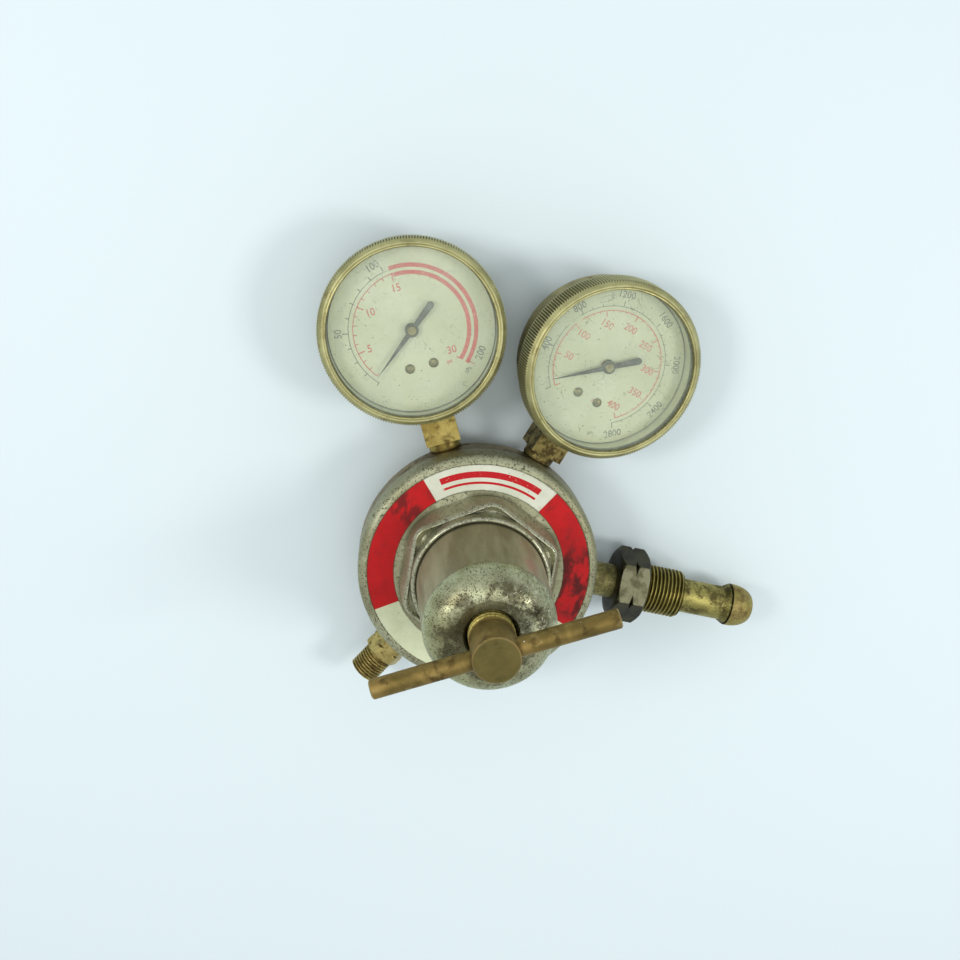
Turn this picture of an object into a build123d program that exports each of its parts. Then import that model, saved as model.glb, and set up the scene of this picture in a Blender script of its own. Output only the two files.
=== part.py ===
from build123d import *

import os
from math import acos, atan2, cos, pi, radians, sin, sqrt, tan

# Single-stage gas pressure regulator with two gauges. It lies on the flat rear face of its body. Z runs
# up through the bonnet and the T-handle screw, and X points out along the inlet nipple. The origin is the
# centre of the rear face. Millimetres.

# --- Driving dimensions of the regulator -------------------------------------------------------
DRUM_R = 53.8  # outside of the body forging
REAR_FACE_R = 27.0  # flat that the part rests on
DRUM_LOW_Z = 20.0
DRUM_TOP_Z = 29.5
RIM_R = 54.0  # outside of the bonnet ring
RIM_THREAD_R = 50.0
BODY_TOP_Z = 36.0
CHAMBER_R = 38.0  # delivery pressure chamber under the diaphragm
CHAMBER_FLOOR_Z = 29.0
SUPPLY_BORE_R = 9.0  # cylinder pressure chamber
SUPPLY_FLOOR_Z = 6.0
NOZZLE_LOW_Z = 22.0

DIAPHRAGM_T = 1.0
SLIP_RING_T = 0.5
CASE_FLANGE_T = 2.5
CLAMP_R = 49.4  # outer radius of the stack that the bonnet ring clamps
RING_TOP_Z = 42.6
LABEL_OUTER_R = 49.8
LABEL_INNER_R = 38.2
LABEL_RECESS = 0.5
LABEL_T = 0.3

HEX_FLATS = 68.0  # formed hexagon on the bonnet ring
HEX_CORNER_R = 16.0
HEX_TURN = 3.5  # degrees that its corner is past +Y
HEX_DRAFT = 15  # degrees that the flats lean inwards
HEX_WALL = 9.0
HEX_SHOULDER = 3.0
COLLAR_R = 31.6
COLLAR_TOP_Z = 58.6

CASE_R = 28.36  # spring case
CASE_WALL = 2.6
CASE_TOP_R = 27.4  # the wall tapers to this under the curved shoulder
DOME_INSIDE_Z = 94.0
DOME_LOW_Z = 102.5
DOME_TOP_Z = 114.2
DOME_FLAT_R = 15.0  # where the curved shoulder meets the annulus round the screw
SCREW_HOLE_R = 10.8
BOSS_LOW_Z = 100.0

SCREW_R = 9.525  # three quarter inch screw
SCREW_PITCH = 2.54
SCREW_LOW_Z = 94.0
SCREW_THREAD_TOP_Z = 117.4
SCREW_TOP_Z = 137.3
NOSE_R = 4.0
BUTTON_R = 22.0
BUTTON_LOW_Z = 86.0
BUTTON_TOP_Z = 90.0
BUTTON_RECESS = 2.0
BAR_R = 3.97  # five sixteenths inch bar
BAR_LENGTH = 99.0
BAR_Z = 130.55
BAR_ANGLE = 29.0
RUNNING = 0.075  # radial clearance of a turning fit
AIR = 0.03  # gap between faces that bear on each other

INLET_Z = 18.6
NIPPLE_R = 7.95
NIPPLE_BORE_R = 2.6
FLARE_X = 119.9
GROOVE_X = 122.9  # narrow groove behind the nose
GROOVE = 0.7
NOSE_LAND_R = 9.9
NOSE_LAND = 1.6
NOSE_TIP_X = 135.4
NUT_START_X = 66.4
NUT_HEX_END_X = 80.8
NUT_END_X = 99.3
NUT_FLATS = 30.6
NUT_THREAD_R = 11.24  # 0.885 inch
NUT_PITCH = 25.4 / 14
NUT_BORE_R = 8.25
NUT_FLAT_TURN = 18.6  # the flat that faces up leans this much towards +Y

OUTLET_ANGLE = 240.0
OUTLET_Z = 21.0
OUTLET_HEX_START = 54.8
OUTLET_HEX_END = 65.6
OUTLET_END = 78.0
OUTLET_FLATS = 15.9
OUTLET_THREAD_R = 7.14  # 9/16 inch
OUTLET_PITCH = 25.4 / 18
OUTLET_BORE_R = 2.8

PORT_R = 6.8  # drilled port in the drum wall
PORT_DEPTH_R = 40.0  # radius at which each port ends
TENON_R = 6.7
PASSAGE_R = 1.6
LOW_PASSAGE_AT = 30.0

# --- Driving dimensions of a gauge -------------------------------------------------------------
GAUGES = {  # distance from the body's axis, direction, height of the stem, lean about the stem, rest angle
    "delivery_gauge": (111.0, 118.0, 19.8, 0.0, 219.0),
    "supply_gauge": (107.0, 71.9, 19.3, 11.46, 220.0),
}
GAUGE_BACK = -11.8
GAUGE_CASE_R = 37.8
GAUGE_WALL = 1.2
GAUGE_ROUND_R = 8.5  # rounded back edge of the case
GAUGE_ROUND_H = 11.0
GAUGE_RIM_Z = 16.8
GASKET_T = 1.0
WINDOW_T = 2.0
WINDOW_R = 37.6
BEZEL_R = 40.6
BEZEL_LOW_Z = 8.2
BEZEL_OPENING_R = 36.3
DIAL_R = 36.0
DIAL_Z = 10.0
DIAL_T = 0.6
DIAL_SCREW_AT = (5.3, -16.4)
DIAL_SCREW_R = 2.1
STEM_SQUARE = 15.5
STEM_NECK_R = 7.2
STEM_SQUARE_END = 57.5  # distance of the square's end from the body's axis
POINTER_REACH = 26.0
POINTER_TAIL = 15.2
POINTER_Z = 12.6
POINTER_T = 0.6
TUBE_R = 27.0  # Bourdon tube's centreline
TUBE_Z = -6.0
TUBE_START = -114.0
TUBE_HALF = 3.4
TUBE_END = -17.0
PLATE_LOW_Z = -2.5
PLATE_HIGH_Z = 5.5
PLATE_T = 1.2
GEAR_MODULE = 0.4
PINION_TEETH = 12
SECTOR_TEETH = 84  # teeth of the whole gear that the sector is cut from
SECTOR_PIVOT = -GEAR_MODULE * (PINION_TEETH + SECTOR_TEETH) / 2
SECTOR_Z = 2.0
SECTOR_T = 1.0
TAIL_REACH = 8.0
TAIL_ANGLE = -50.0
LINK_Z = 3.1
LINK_T = 0.6
LINK_HALF_WIDTH = 1.2


# --- Drawing helpers -----------------------------------------------------------------------------
def drawn(frame, *points):
    """A closed outline of (radius, height) points, on the half plane that holds the frame's z axis."""
    with BuildSketch(Plane(frame.origin, x_dir=frame.x_dir, z_dir=-frame.y_dir)) as outline:
        with BuildLine():
            Polyline(*points, close=True)
        make_face()
    return outline.sketch


def spin(frame, *points, mode=Mode.ADD):
    """Turns an outline of (radius, height) points about the frame's z axis."""
    revolve(drawn(frame, *points), axis=Axis(frame.origin, frame.z_dir), mode=mode)


def thread_points(radius, pitch, low, high):
    """Outline points of ring shaped thread grooves with flat crests, from low to high."""
    depth = 0.6 * pitch
    crest = pitch / 5
    points = [(radius, low)]
    count = int((high - low) / pitch)
    for turn in range(count):
        start = low + turn * pitch + crest
        points += [
            (radius, start),
            (radius - depth, start + 0.4 * pitch),
            (radius, start + 0.8 * pitch),
        ]
    return points + [(radius, high)]


def radial(angle, height):
    """A plane at the body's axis whose z axis points outwards in that direction, at that height."""
    out = (cos(radians(angle)), sin(radians(angle)), 0)
    return Plane((0, 0, height), x_dir=(-out[1], out[0], 0), z_dir=out)


def coil(radius, wire_r, low, high, turns):
    """A helical compression spring of round wire whose ends are a wire's radius inside low and high."""
    base = low + wire_r
    rise = high - low - 2 * wire_r
    with BuildPart() as spring:
        with BuildLine(Plane.XY.offset(base)) as path:
            Helix(pitch=rise / turns, height=rise, radius=radius)
        with BuildSketch(Plane(path.line @ 0, z_dir=path.line % 0)):
            Circle(wire_r)
        sweep(path=path.line, is_frenet=True)
    return spring


INLET = Plane((0, 0, INLET_Z), x_dir=(0, 1, 0), z_dir=(1, 0, 0))
OUTLET = radial(OUTLET_ANGLE, OUTLET_Z)
PORTS = {name: radial(angle, height) for name, (_, angle, height, _, _) in GAUGES.items()}


# --- Body ----------------------------------------------------------------------------------------
with BuildPart() as body:
    with BuildSketch(Plane.XZ):
        with BuildLine():
            Polyline((0, 0), (REAR_FACE_R, 0), (36, 2.5))
            ThreePointArc((36, 2.5), (48.5, 10.0), (DRUM_R, DRUM_LOW_Z))
            Polyline(
                (DRUM_R, DRUM_LOW_Z),
                (DRUM_R, DRUM_TOP_Z),
                (RIM_THREAD_R, DRUM_TOP_Z),
                (RIM_THREAD_R, BODY_TOP_Z),
                (CHAMBER_R, BODY_TOP_Z),
                (CHAMBER_R, CHAMBER_FLOOR_Z),
                (SUPPLY_BORE_R, CHAMBER_FLOOR_Z),
                (SUPPLY_BORE_R, SUPPLY_FLOOR_Z),
                (0, SUPPLY_FLOOR_Z),
                (0, 0),
            )
        make_face()
    revolve(axis=Axis.Z)
    for port in (INLET, OUTLET, *PORTS.values()):
        with BuildSketch(port.offset(PORT_DEPTH_R)):
            Circle(PORT_R)
        extrude(amount=RIM_R, mode=Mode.SUBTRACT)
    for port in (INLET, PORTS["supply_gauge"]):  # cylinder pressure passages
        with BuildSketch(port.offset(SUPPLY_BORE_R - 1)):
            Circle(PASSAGE_R)
        extrude(amount=PORT_DEPTH_R, mode=Mode.SUBTRACT)
    for port in (OUTLET, PORTS["delivery_gauge"]):  # delivery pressure passages turn up into the chamber
        with BuildSketch(port.offset(LOW_PASSAGE_AT)):
            Circle(PASSAGE_R)
        extrude(amount=PORT_DEPTH_R - LOW_PASSAGE_AT + 1, mode=Mode.SUBTRACT)
        riser = port.origin + port.z_dir * (LOW_PASSAGE_AT + PASSAGE_R)
        with BuildSketch(Plane((riser.X, riser.Y, riser.Z))):
            Circle(PASSAGE_R)
        extrude(amount=CHAMBER_FLOOR_Z + 1 - riser.Z, mode=Mode.SUBTRACT)
body.part.label = "regulator_body"

with BuildPart() as nozzle:
    spin(
        Plane.XY,
        (1.8, NOZZLE_LOW_Z),
        (3.4, NOZZLE_LOW_Z),
        (4.6, NOZZLE_LOW_Z + 1.2),
        (SUPPLY_BORE_R, NOZZLE_LOW_Z + 1.2),
        (SUPPLY_BORE_R, CHAMBER_FLOOR_Z),
        (1.8, CHAMBER_FLOOR_Z),
    )
    with BuildSketch(Plane.XY.offset(CHAMBER_FLOOR_Z)):
        RegularPolygon(radius=10.5, side_count=6)
        Circle(1.8, mode=Mode.SUBTRACT)
    extrude(amount=3.0)
nozzle.part.label = "nozzle"

with BuildPart() as valve_stem:
    spin(
        Plane.XY,
        (0, 16.5),
        (2.2, 16.5),
        (2.2, 18.0),
        (5.4, 18.0),
        (5.4, 21.0),
        (3.2, NOZZLE_LOW_Z - AIR),
        (1.2, NOZZLE_LOW_Z - AIR),
        (1.2, BODY_TOP_Z - AIR),
        (0, BODY_TOP_Z - AIR),
    )
valve_stem.part.label = "valve_stem"
valve_spring = coil(radius=3.6, wire_r=0.5, low=SUPPLY_FLOOR_Z, high=18.0, turns=5)
valve_spring.part.label = "valve_spring"

# --- Diaphragm and range spring ----------------------------------------------------------------------
slip_z = BODY_TOP_Z + DIAPHRAGM_T
flange_z = slip_z + SLIP_RING_T
ceiling_z = flange_z + CASE_FLANGE_T

with BuildPart() as diaphragm:
    with BuildSketch(Plane.XY.offset(BODY_TOP_Z)):
        Circle(CLAMP_R)
    extrude(amount=DIAPHRAGM_T)
diaphragm.part.label = "diaphragm"

with BuildPart() as slip_ring:
    with BuildSketch(Plane.XY.offset(slip_z)):
        Circle(CLAMP_R)
        Circle(CHAMBER_R, mode=Mode.SUBTRACT)
    extrude(amount=SLIP_RING_T)
slip_ring.part.label = "slip_ring"

PLATE_R = 25.3
PLATE_TOP_Z = 39.5
SPRING_R = 18.8
SPRING_WIRE_R = 2.6
with BuildPart() as diaphragm_plate:
    spin(
        Plane.XY,
        (0, slip_z + AIR),
        (PLATE_R, slip_z + AIR),
        (PLATE_R, PLATE_TOP_Z),
        (15.5, PLATE_TOP_Z),
        (14.5, PLATE_TOP_Z + 3),
        (0, PLATE_TOP_Z + 3),
    )
diaphragm_plate.part.label = "diaphragm_plate"
range_spring = coil(SPRING_R, SPRING_WIRE_R, PLATE_TOP_Z, BUTTON_LOW_Z, turns=5)
range_spring.part.label = "range_spring"

with BuildPart() as spring_button:
    spin(
        Plane.XY,
        (0, BUTTON_LOW_Z - 3),
        (14.5, BUTTON_LOW_Z - 3),
        (15.5, BUTTON_LOW_Z),
        (BUTTON_R, BUTTON_LOW_Z),
        (BUTTON_R, BUTTON_TOP_Z - 1.5),
        (BUTTON_R - 1.5, BUTTON_TOP_Z),
        (NOSE_R + 0.2, BUTTON_TOP_Z),
        (NOSE_R + 0.2, BUTTON_TOP_Z - BUTTON_RECESS),
        (0, BUTTON_TOP_Z - BUTTON_RECESS),
    )
spring_button.part.label = "spring_button"

# --- Spring case, bonnet ring and label ----------------------------------------------------------------
inner_r = CASE_R - CASE_WALL
with BuildPart() as spring_case:
    with BuildSketch(Plane.XZ):
        with BuildLine():
            Polyline(
                (inner_r, flange_z),
                (CLAMP_R, flange_z),
                (CLAMP_R, ceiling_z),
                (CASE_R, ceiling_z),
                (CASE_R, COLLAR_TOP_Z + 1.4),
                (CASE_TOP_R, DOME_LOW_Z),
            )
            EllipticalCenterArc(
                (DOME_FLAT_R, DOME_LOW_Z),
                CASE_TOP_R - DOME_FLAT_R,
                DOME_TOP_Z - DOME_LOW_Z,
                start_angle=0,
                arc_size=90,
            )
            Polyline(
                (DOME_FLAT_R, DOME_TOP_Z),
                (SCREW_HOLE_R + 0.6, DOME_TOP_Z - 0.5),
                (SCREW_HOLE_R, DOME_TOP_Z - 1.1),
                (SCREW_HOLE_R, DOME_TOP_Z - 4.0),
                (SCREW_R + RUNNING, DOME_TOP_Z - 5.2),
                (SCREW_R + RUNNING, BOSS_LOW_Z),
                (DOME_FLAT_R, BOSS_LOW_Z),
                (DOME_FLAT_R, DOME_TOP_Z - 5.0),
                (20.0, DOME_TOP_Z - 7.5),
                (inner_r, DOME_INSIDE_Z),
                (inner_r, flange_z),
            )
        make_face()
    revolve(axis=Axis.Z)
spring_case.part.label = "spring_case"

with BuildPart() as bonnet_ring:
    spin(
        Plane.XY,
        (RIM_THREAD_R + 0.1, DRUM_TOP_Z + 0.2),
        (RIM_R, DRUM_TOP_Z + 0.2),
        (RIM_R, RING_TOP_Z),
        (LABEL_OUTER_R + 0.15, RING_TOP_Z),
        (LABEL_OUTER_R + 0.15, RING_TOP_Z - LABEL_RECESS),
        (LABEL_INNER_R - 0.15, RING_TOP_Z - LABEL_RECESS),
        (LABEL_INNER_R - 0.15, RING_TOP_Z),
        (CASE_R + 0.1, RING_TOP_Z),
        (CASE_R + 0.1, ceiling_z),
        (RIM_THREAD_R + 0.1, ceiling_z),
    )
    outer = bonnet_ring.edges().filter_by(GeomType.CIRCLE).sort_by(SortBy.RADIUS)[-2:]
    fillet(outer.sort_by(Axis.Z)[-1], radius=3.9)
    inset = HEX_WALL * tan(radians(HEX_DRAFT))
    for low, away, height, draft in ((0, 0, HEX_WALL, HEX_DRAFT), (HEX_WALL, inset, HEX_SHOULDER, 40)):
        with BuildSketch(Plane.XY.offset(RING_TOP_Z + low)) as hexagon:
            RegularPolygon(radius=HEX_FLATS / 2 - away, side_count=6, major_radius=False, rotation=30 + HEX_TURN)
            fillet(hexagon.vertices(), radius=HEX_CORNER_R - away)
        extrude(amount=height, taper=draft)
    spin(
        Plane.XY,
        (CASE_R + 0.1, RING_TOP_Z),
        (COLLAR_R + 1, RING_TOP_Z),
        (COLLAR_R + 1, RING_TOP_Z + HEX_WALL + HEX_SHOULDER),
        (COLLAR_R, COLLAR_TOP_Z - 2.5),
        (COLLAR_R - 0.4, COLLAR_TOP_Z - 0.9),
        (COLLAR_R - 1.5, COLLAR_TOP_Z),
        (CASE_R + 0.1, COLLAR_TOP_Z),
    )
    with BuildSketch(Plane.XY.offset(ceiling_z)):
        Circle(CASE_R + 0.1)
    extrude(amount=COLLAR_TOP_Z, mode=Mode.SUBTRACT)
bonnet_ring.part.label = "bonnet_ring"

with BuildPart() as label_ring:
    with BuildSketch(Plane.XY.offset(RING_TOP_Z - LABEL_RECESS)):
        Circle(LABEL_OUTER_R)
        Circle(LABEL_INNER_R, mode=Mode.SUBTRACT)
    extrude(amount=LABEL_T)
label_ring.part.label = "label_ring"

# --- Adjusting screw and T-bar ------------------------------------------------------------------------
bar_out = Vector(cos(radians(BAR_ANGLE)), sin(radians(BAR_ANGLE)), 0)
bar_frame = Plane((0, 0, BAR_Z), x_dir=(0, 0, 1), z_dir=bar_out)
with BuildPart() as adjusting_screw:
    spin(
        Plane.XY,
        (0, BUTTON_TOP_Z - BUTTON_RECESS + AIR),
        (NOSE_R, BUTTON_TOP_Z - BUTTON_RECESS + AIR),
        (NOSE_R, SCREW_LOW_Z - 1),
        (SCREW_R - 1.2, SCREW_LOW_Z - 1),
        *thread_points(SCREW_R, SCREW_PITCH, SCREW_LOW_Z, SCREW_THREAD_TOP_Z),
        (SCREW_R - 0.35, SCREW_THREAD_TOP_Z + 0.35),
        (SCREW_R - 0.35, BAR_Z - BAR_R - 0.6),
        (SCREW_R, BAR_Z - BAR_R - 0.3),
        (SCREW_R, SCREW_TOP_Z - 0.7),
        (SCREW_R - 0.7, SCREW_TOP_Z),
        (0, SCREW_TOP_Z),
    )
    with BuildSketch(bar_frame.offset(-2 * SCREW_R)):
        Circle(BAR_R)
    extrude(amount=4 * SCREW_R, mode=Mode.SUBTRACT)
adjusting_screw.part.label = "adjusting_screw"

with BuildPart() as t_bar:
    with BuildSketch(bar_frame.offset(-BAR_LENGTH / 2)):
        Circle(BAR_R)
    extrude(amount=BAR_LENGTH)
    chamfer(t_bar.edges().filter_by(GeomType.CIRCLE), length=0.6)
t_bar.part.label = "t_bar"

# --- Inlet ----------------------------------------------------------------------------------------
with BuildPart() as inlet_nipple:
    with BuildSketch(Plane(INLET.origin, x_dir=INLET.x_dir, z_dir=-INLET.y_dir)):
        with BuildLine():
            Polyline(
                (NIPPLE_BORE_R, PORT_DEPTH_R + 4),
                (TENON_R, PORT_DEPTH_R + 4),
                (TENON_R, RIM_R - 0.2),
                (NIPPLE_R, RIM_R),
                (NIPPLE_R, FLARE_X),
                (NOSE_LAND_R - 0.3, GROOVE_X),
                (NOSE_LAND_R - 0.8, GROOVE_X),
                (NOSE_LAND_R - 0.8, GROOVE_X + GROOVE),
                (NOSE_LAND_R, GROOVE_X + GROOVE),
                (NOSE_LAND_R, GROOVE_X + GROOVE + NOSE_LAND),
            )
            EllipticalCenterArc(
                (3.4, GROOVE_X + GROOVE + NOSE_LAND),
                NOSE_LAND_R - 3.4,
                NOSE_TIP_X - GROOVE_X - GROOVE - NOSE_LAND,
                start_angle=0,
                arc_size=90,
            )
            Polyline(
                (3.4, NOSE_TIP_X),
                (NIPPLE_BORE_R, NOSE_TIP_X - 0.6),
                (NIPPLE_BORE_R, PORT_DEPTH_R + 4),
            )
        make_face()
    revolve(axis=Axis(INLET.origin, INLET.z_dir))
inlet_nipple.part.label = "inlet_nipple"

with BuildPart() as inlet_filter:
    spin(
        INLET,
        (0, PORT_DEPTH_R + 5),
        (NIPPLE_BORE_R, PORT_DEPTH_R + 5),
        (NIPPLE_BORE_R, PORT_DEPTH_R + 15),
        (0, PORT_DEPTH_R + 15),
    )
inlet_filter.part.label = "inlet_filter"


def notched_hexagon(frame, flats, start, end, turn):
    """A hexagon bar with chamfered ends and a V notch across each corner, the sign of a left-hand thread."""
    corner_r = flats / sqrt(3)
    middle = (start + end) / 2
    with BuildSketch(frame.offset(start)) as outline:
        RegularPolygon(radius=flats / 2, side_count=6, major_radius=False, rotation=turn)
    extrude(outline.sketch, amount=end - start)
    bevel = corner_r - flats / 2
    for near, out in ((start, -1), (end, 1)):  # round off both ends of the corners
        spin(
            frame,
            (corner_r + 1, near + out),
            (flats / 2 - 0.3, near + out),
            (flats / 2 - 0.3, near),
            (corner_r + 1, near - out * (bevel + 1.3) * tan(radians(32))),
            mode=Mode.SUBTRACT,
        )
    spin(
        frame,
        (flats / 2 + 0.25 * bevel, middle),
        (corner_r + 1, middle - 1.6),
        (corner_r + 1, middle + 1.6),
        mode=Mode.SUBTRACT,
    )


with BuildPart() as inlet_nut:
    notched_hexagon(INLET, NUT_FLATS, NUT_START_X, NUT_HEX_END_X, turn=60 - NUT_FLAT_TURN)
    spin(
        INLET,
        (NUT_BORE_R, NUT_HEX_END_X),
        (NUT_THREAD_R - 1.0, NUT_HEX_END_X),
        (NUT_THREAD_R - 1.0, NUT_HEX_END_X + 0.9),
        *thread_points(NUT_THREAD_R, NUT_PITCH, NUT_HEX_END_X + 1.4, NUT_END_X - 0.8),
        (NUT_THREAD_R - 0.8, NUT_END_X),
        (NUT_BORE_R, NUT_END_X),
    )
    with BuildSketch(INLET.offset(NUT_START_X - 1)):
        Circle(NUT_BORE_R)
    extrude(amount=NUT_HEX_END_X, mode=Mode.SUBTRACT)
inlet_nut.part.label = "inlet_nut"

# --- Outlet ----------------------------------------------------------------------------------------
with BuildPart() as outlet_fitting:
    notched_hexagon(OUTLET, OUTLET_FLATS, OUTLET_HEX_START, OUTLET_HEX_END, turn=90)
    spin(
        OUTLET,
        (0, PORT_DEPTH_R + 4),
        (TENON_R, PORT_DEPTH_R + 4),
        (TENON_R, OUTLET_HEX_START),
        (0, OUTLET_HEX_START),
    )
    spin(
        OUTLET,
        (0, OUTLET_HEX_END),
        (OUTLET_THREAD_R - 0.7, OUTLET_HEX_END),
        (OUTLET_THREAD_R - 0.7, OUTLET_HEX_END + 1.2),
        *thread_points(OUTLET_THREAD_R, OUTLET_PITCH, OUTLET_HEX_END + 1.6, OUTLET_END - 0.6),
        (OUTLET_THREAD_R - 0.6, OUTLET_END),
        (0, OUTLET_END),
    )
    spin(
        OUTLET,
        (0, PORT_DEPTH_R),
        (OUTLET_BORE_R, PORT_DEPTH_R),
        (OUTLET_BORE_R, OUTLET_END - 3.2),
        (OUTLET_BORE_R + 2.0, OUTLET_END),
        (OUTLET_BORE_R + 2.0, OUTLET_END + 1),
        (0, OUTLET_END + 1),
        mode=Mode.SUBTRACT,
    )
outlet_fitting.part.label = "outlet_fitting"


# --- Gauges ----------------------------------------------------------------------------------------
def polar(radius, angle):
    """A point at that radius and angle, in degrees."""
    return (radius * cos(radians(angle)), radius * sin(radians(angle)))


def flank(radius, pitch_r, teeth, gap):
    """Half the angle that a tooth takes at a radius, for 25 degree involute teeth thinned by a gap."""
    pressure = radians(25)
    base_r = pitch_r * cos(pressure)
    here = acos(min(1, base_r / radius))
    involute = (tan(here) - here) - (tan(pressure) - pressure)
    return (pi / (2 * teeth) - gap / (2 * pitch_r) - involute) * 180 / pi


def tooth_points(teeth, centres, gap=0.07):
    """Outline points of stub teeth at the given angles, going round in the order of the angles."""
    pitch_r = GEAR_MODULE * teeth / 2
    base_r = pitch_r * cos(radians(25))
    root_r = pitch_r - 1.1 * GEAR_MODULE
    heights = [max(root_r, base_r), pitch_r, pitch_r + 0.7 * GEAR_MODULE]
    points = []
    for centre in centres:
        half = [flank(r, pitch_r, teeth, gap) for r in heights]
        points.append(polar(root_r, centre - half[0]))
        points += [polar(r, centre - h) for r, h in zip(heights, half) if r > root_r]
        points += [polar(r, centre + h) for r, h in zip(heights[::-1], half[::-1]) if r > root_r]
        points.append(polar(root_r, centre + half[0]))
    return points


def gauge_frame(distance, direction, height, lean):
    """The gauge's own plane: y away from the body along the stem, z out of the dial."""
    out = Vector(cos(radians(direction)), sin(radians(direction)), 0)
    side = Vector(out.Y, -out.X, 0)
    normal = Vector(0, 0, cos(radians(lean))) + side * sin(radians(lean))
    return Plane(out * distance + Vector(0, 0, height), x_dir=out.cross(normal), z_dir=normal)


def rounded_back(wall):
    """Points of the case's rounded back edge from the back to the side, set in by the wall."""
    centre_r = GAUGE_CASE_R - GAUGE_ROUND_R
    centre_z = GAUGE_BACK + GAUGE_ROUND_H
    turns = [radians(90 - 7.5 * step) for step in range(13)]
    return [
        (centre_r + (GAUGE_ROUND_R - wall) * cos(turn), centre_z - (GAUGE_ROUND_H - wall) * sin(turn))
        for turn in turns
    ]


def gauge_housing(prefix, face, distance):
    """Case, bezel, window, gasket and socket."""
    stem = Plane(face.origin, x_dir=face.x_dir, z_dir=-face.y_dir)  # z runs down the stem
    inside_r = GAUGE_CASE_R - GAUGE_WALL
    with BuildPart() as case:
        spin(
            face,
            (0, GAUGE_BACK),
            *rounded_back(0),
            (GAUGE_CASE_R, GAUGE_RIM_Z),
            (inside_r, GAUGE_RIM_Z),
            *reversed(rounded_back(GAUGE_WALL)),
            (0, GAUGE_BACK + GAUGE_WALL),
        )
        with BuildSketch(stem.offset(inside_r - 6)):
            Rectangle(STEM_SQUARE + 0.2, STEM_SQUARE + 0.2)
        extrude(amount=10, mode=Mode.SUBTRACT)
    case.part.label = f"{prefix}_case"

    window_z = GAUGE_RIM_Z + GASKET_T
    lip_z = window_z + WINDOW_T
    with BuildPart() as gasket:
        with BuildSketch(face.offset(GAUGE_RIM_Z)):
            Circle(WINDOW_R)
            Circle(BEZEL_OPENING_R, mode=Mode.SUBTRACT)
        extrude(amount=GASKET_T)
    gasket.part.label = f"{prefix}_gasket"

    with BuildPart() as window:
        with BuildSketch(face.offset(window_z)):
            Circle(WINDOW_R)
        extrude(amount=WINDOW_T)
    window.part.label = f"{prefix}_window"

    with BuildPart() as bezel:
        spin(
            face,
            (GAUGE_CASE_R + 0.1, BEZEL_LOW_Z),
            (BEZEL_R - 0.6, BEZEL_LOW_Z),
            (BEZEL_R, BEZEL_LOW_Z + 0.8),
            (BEZEL_R, lip_z - 2.2),
            (BEZEL_R - 0.9, lip_z - 0.6),
            (BEZEL_R - 2.0, lip_z + 1.2),
            (BEZEL_OPENING_R + 0.7, lip_z + 1.5),
            (BEZEL_OPENING_R, lip_z + 0.6),
            (BEZEL_OPENING_R, lip_z),
            (GAUGE_CASE_R + 0.1, lip_z),
        )
    bezel.part.label = f"{prefix}_bezel"

    square_end = distance - STEM_SQUARE_END
    with BuildPart() as socket:
        with BuildSketch(face.offset(TUBE_Z - TUBE_HALF)):  # block that the Bourdon tube is soldered to
            with BuildLine():
                Polyline(
                    polar(24.3, TUBE_START),
                    polar(30, TUBE_START),
                    (0, -30.5),
                    polar(30, -180 - TUBE_START),
                    polar(24.3, -180 - TUBE_START),
                    (0, -24.3),
                    close=True,
                )
            make_face()
        extrude(amount=PLATE_LOW_Z - TUBE_Z + TUBE_HALF)
        with BuildSketch(stem.offset(28)):
            Rectangle(STEM_SQUARE, STEM_SQUARE)
        extrude(amount=square_end - 28)
        with BuildSketch(stem.offset(square_end)):
            Circle(STEM_NECK_R)
        extrude(amount=STEM_SQUARE_END - RIM_R)
        with BuildSketch(stem.offset(square_end)):
            Circle(TENON_R)
        extrude(amount=STEM_SQUARE_END - PORT_DEPTH_R - 3)
        with BuildSketch(stem.offset(29.5)):
            Circle(PASSAGE_R)
        extrude(amount=distance - PORT_DEPTH_R, mode=Mode.SUBTRACT)
        mouth = face.from_local_coords((*polar(TUBE_R, TUBE_START), TUBE_Z))
        cross = face.from_local_coords((0, -31.5, 0)) - mouth
        with BuildSketch(Plane(mouth - cross * 0.1, z_dir=cross)):
            Circle(0.7)
        extrude(amount=cross.length * 1.1, mode=Mode.SUBTRACT)
    socket.part.label = f"{prefix}_socket"
    return [case, gasket, window, bezel, socket]


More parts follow.
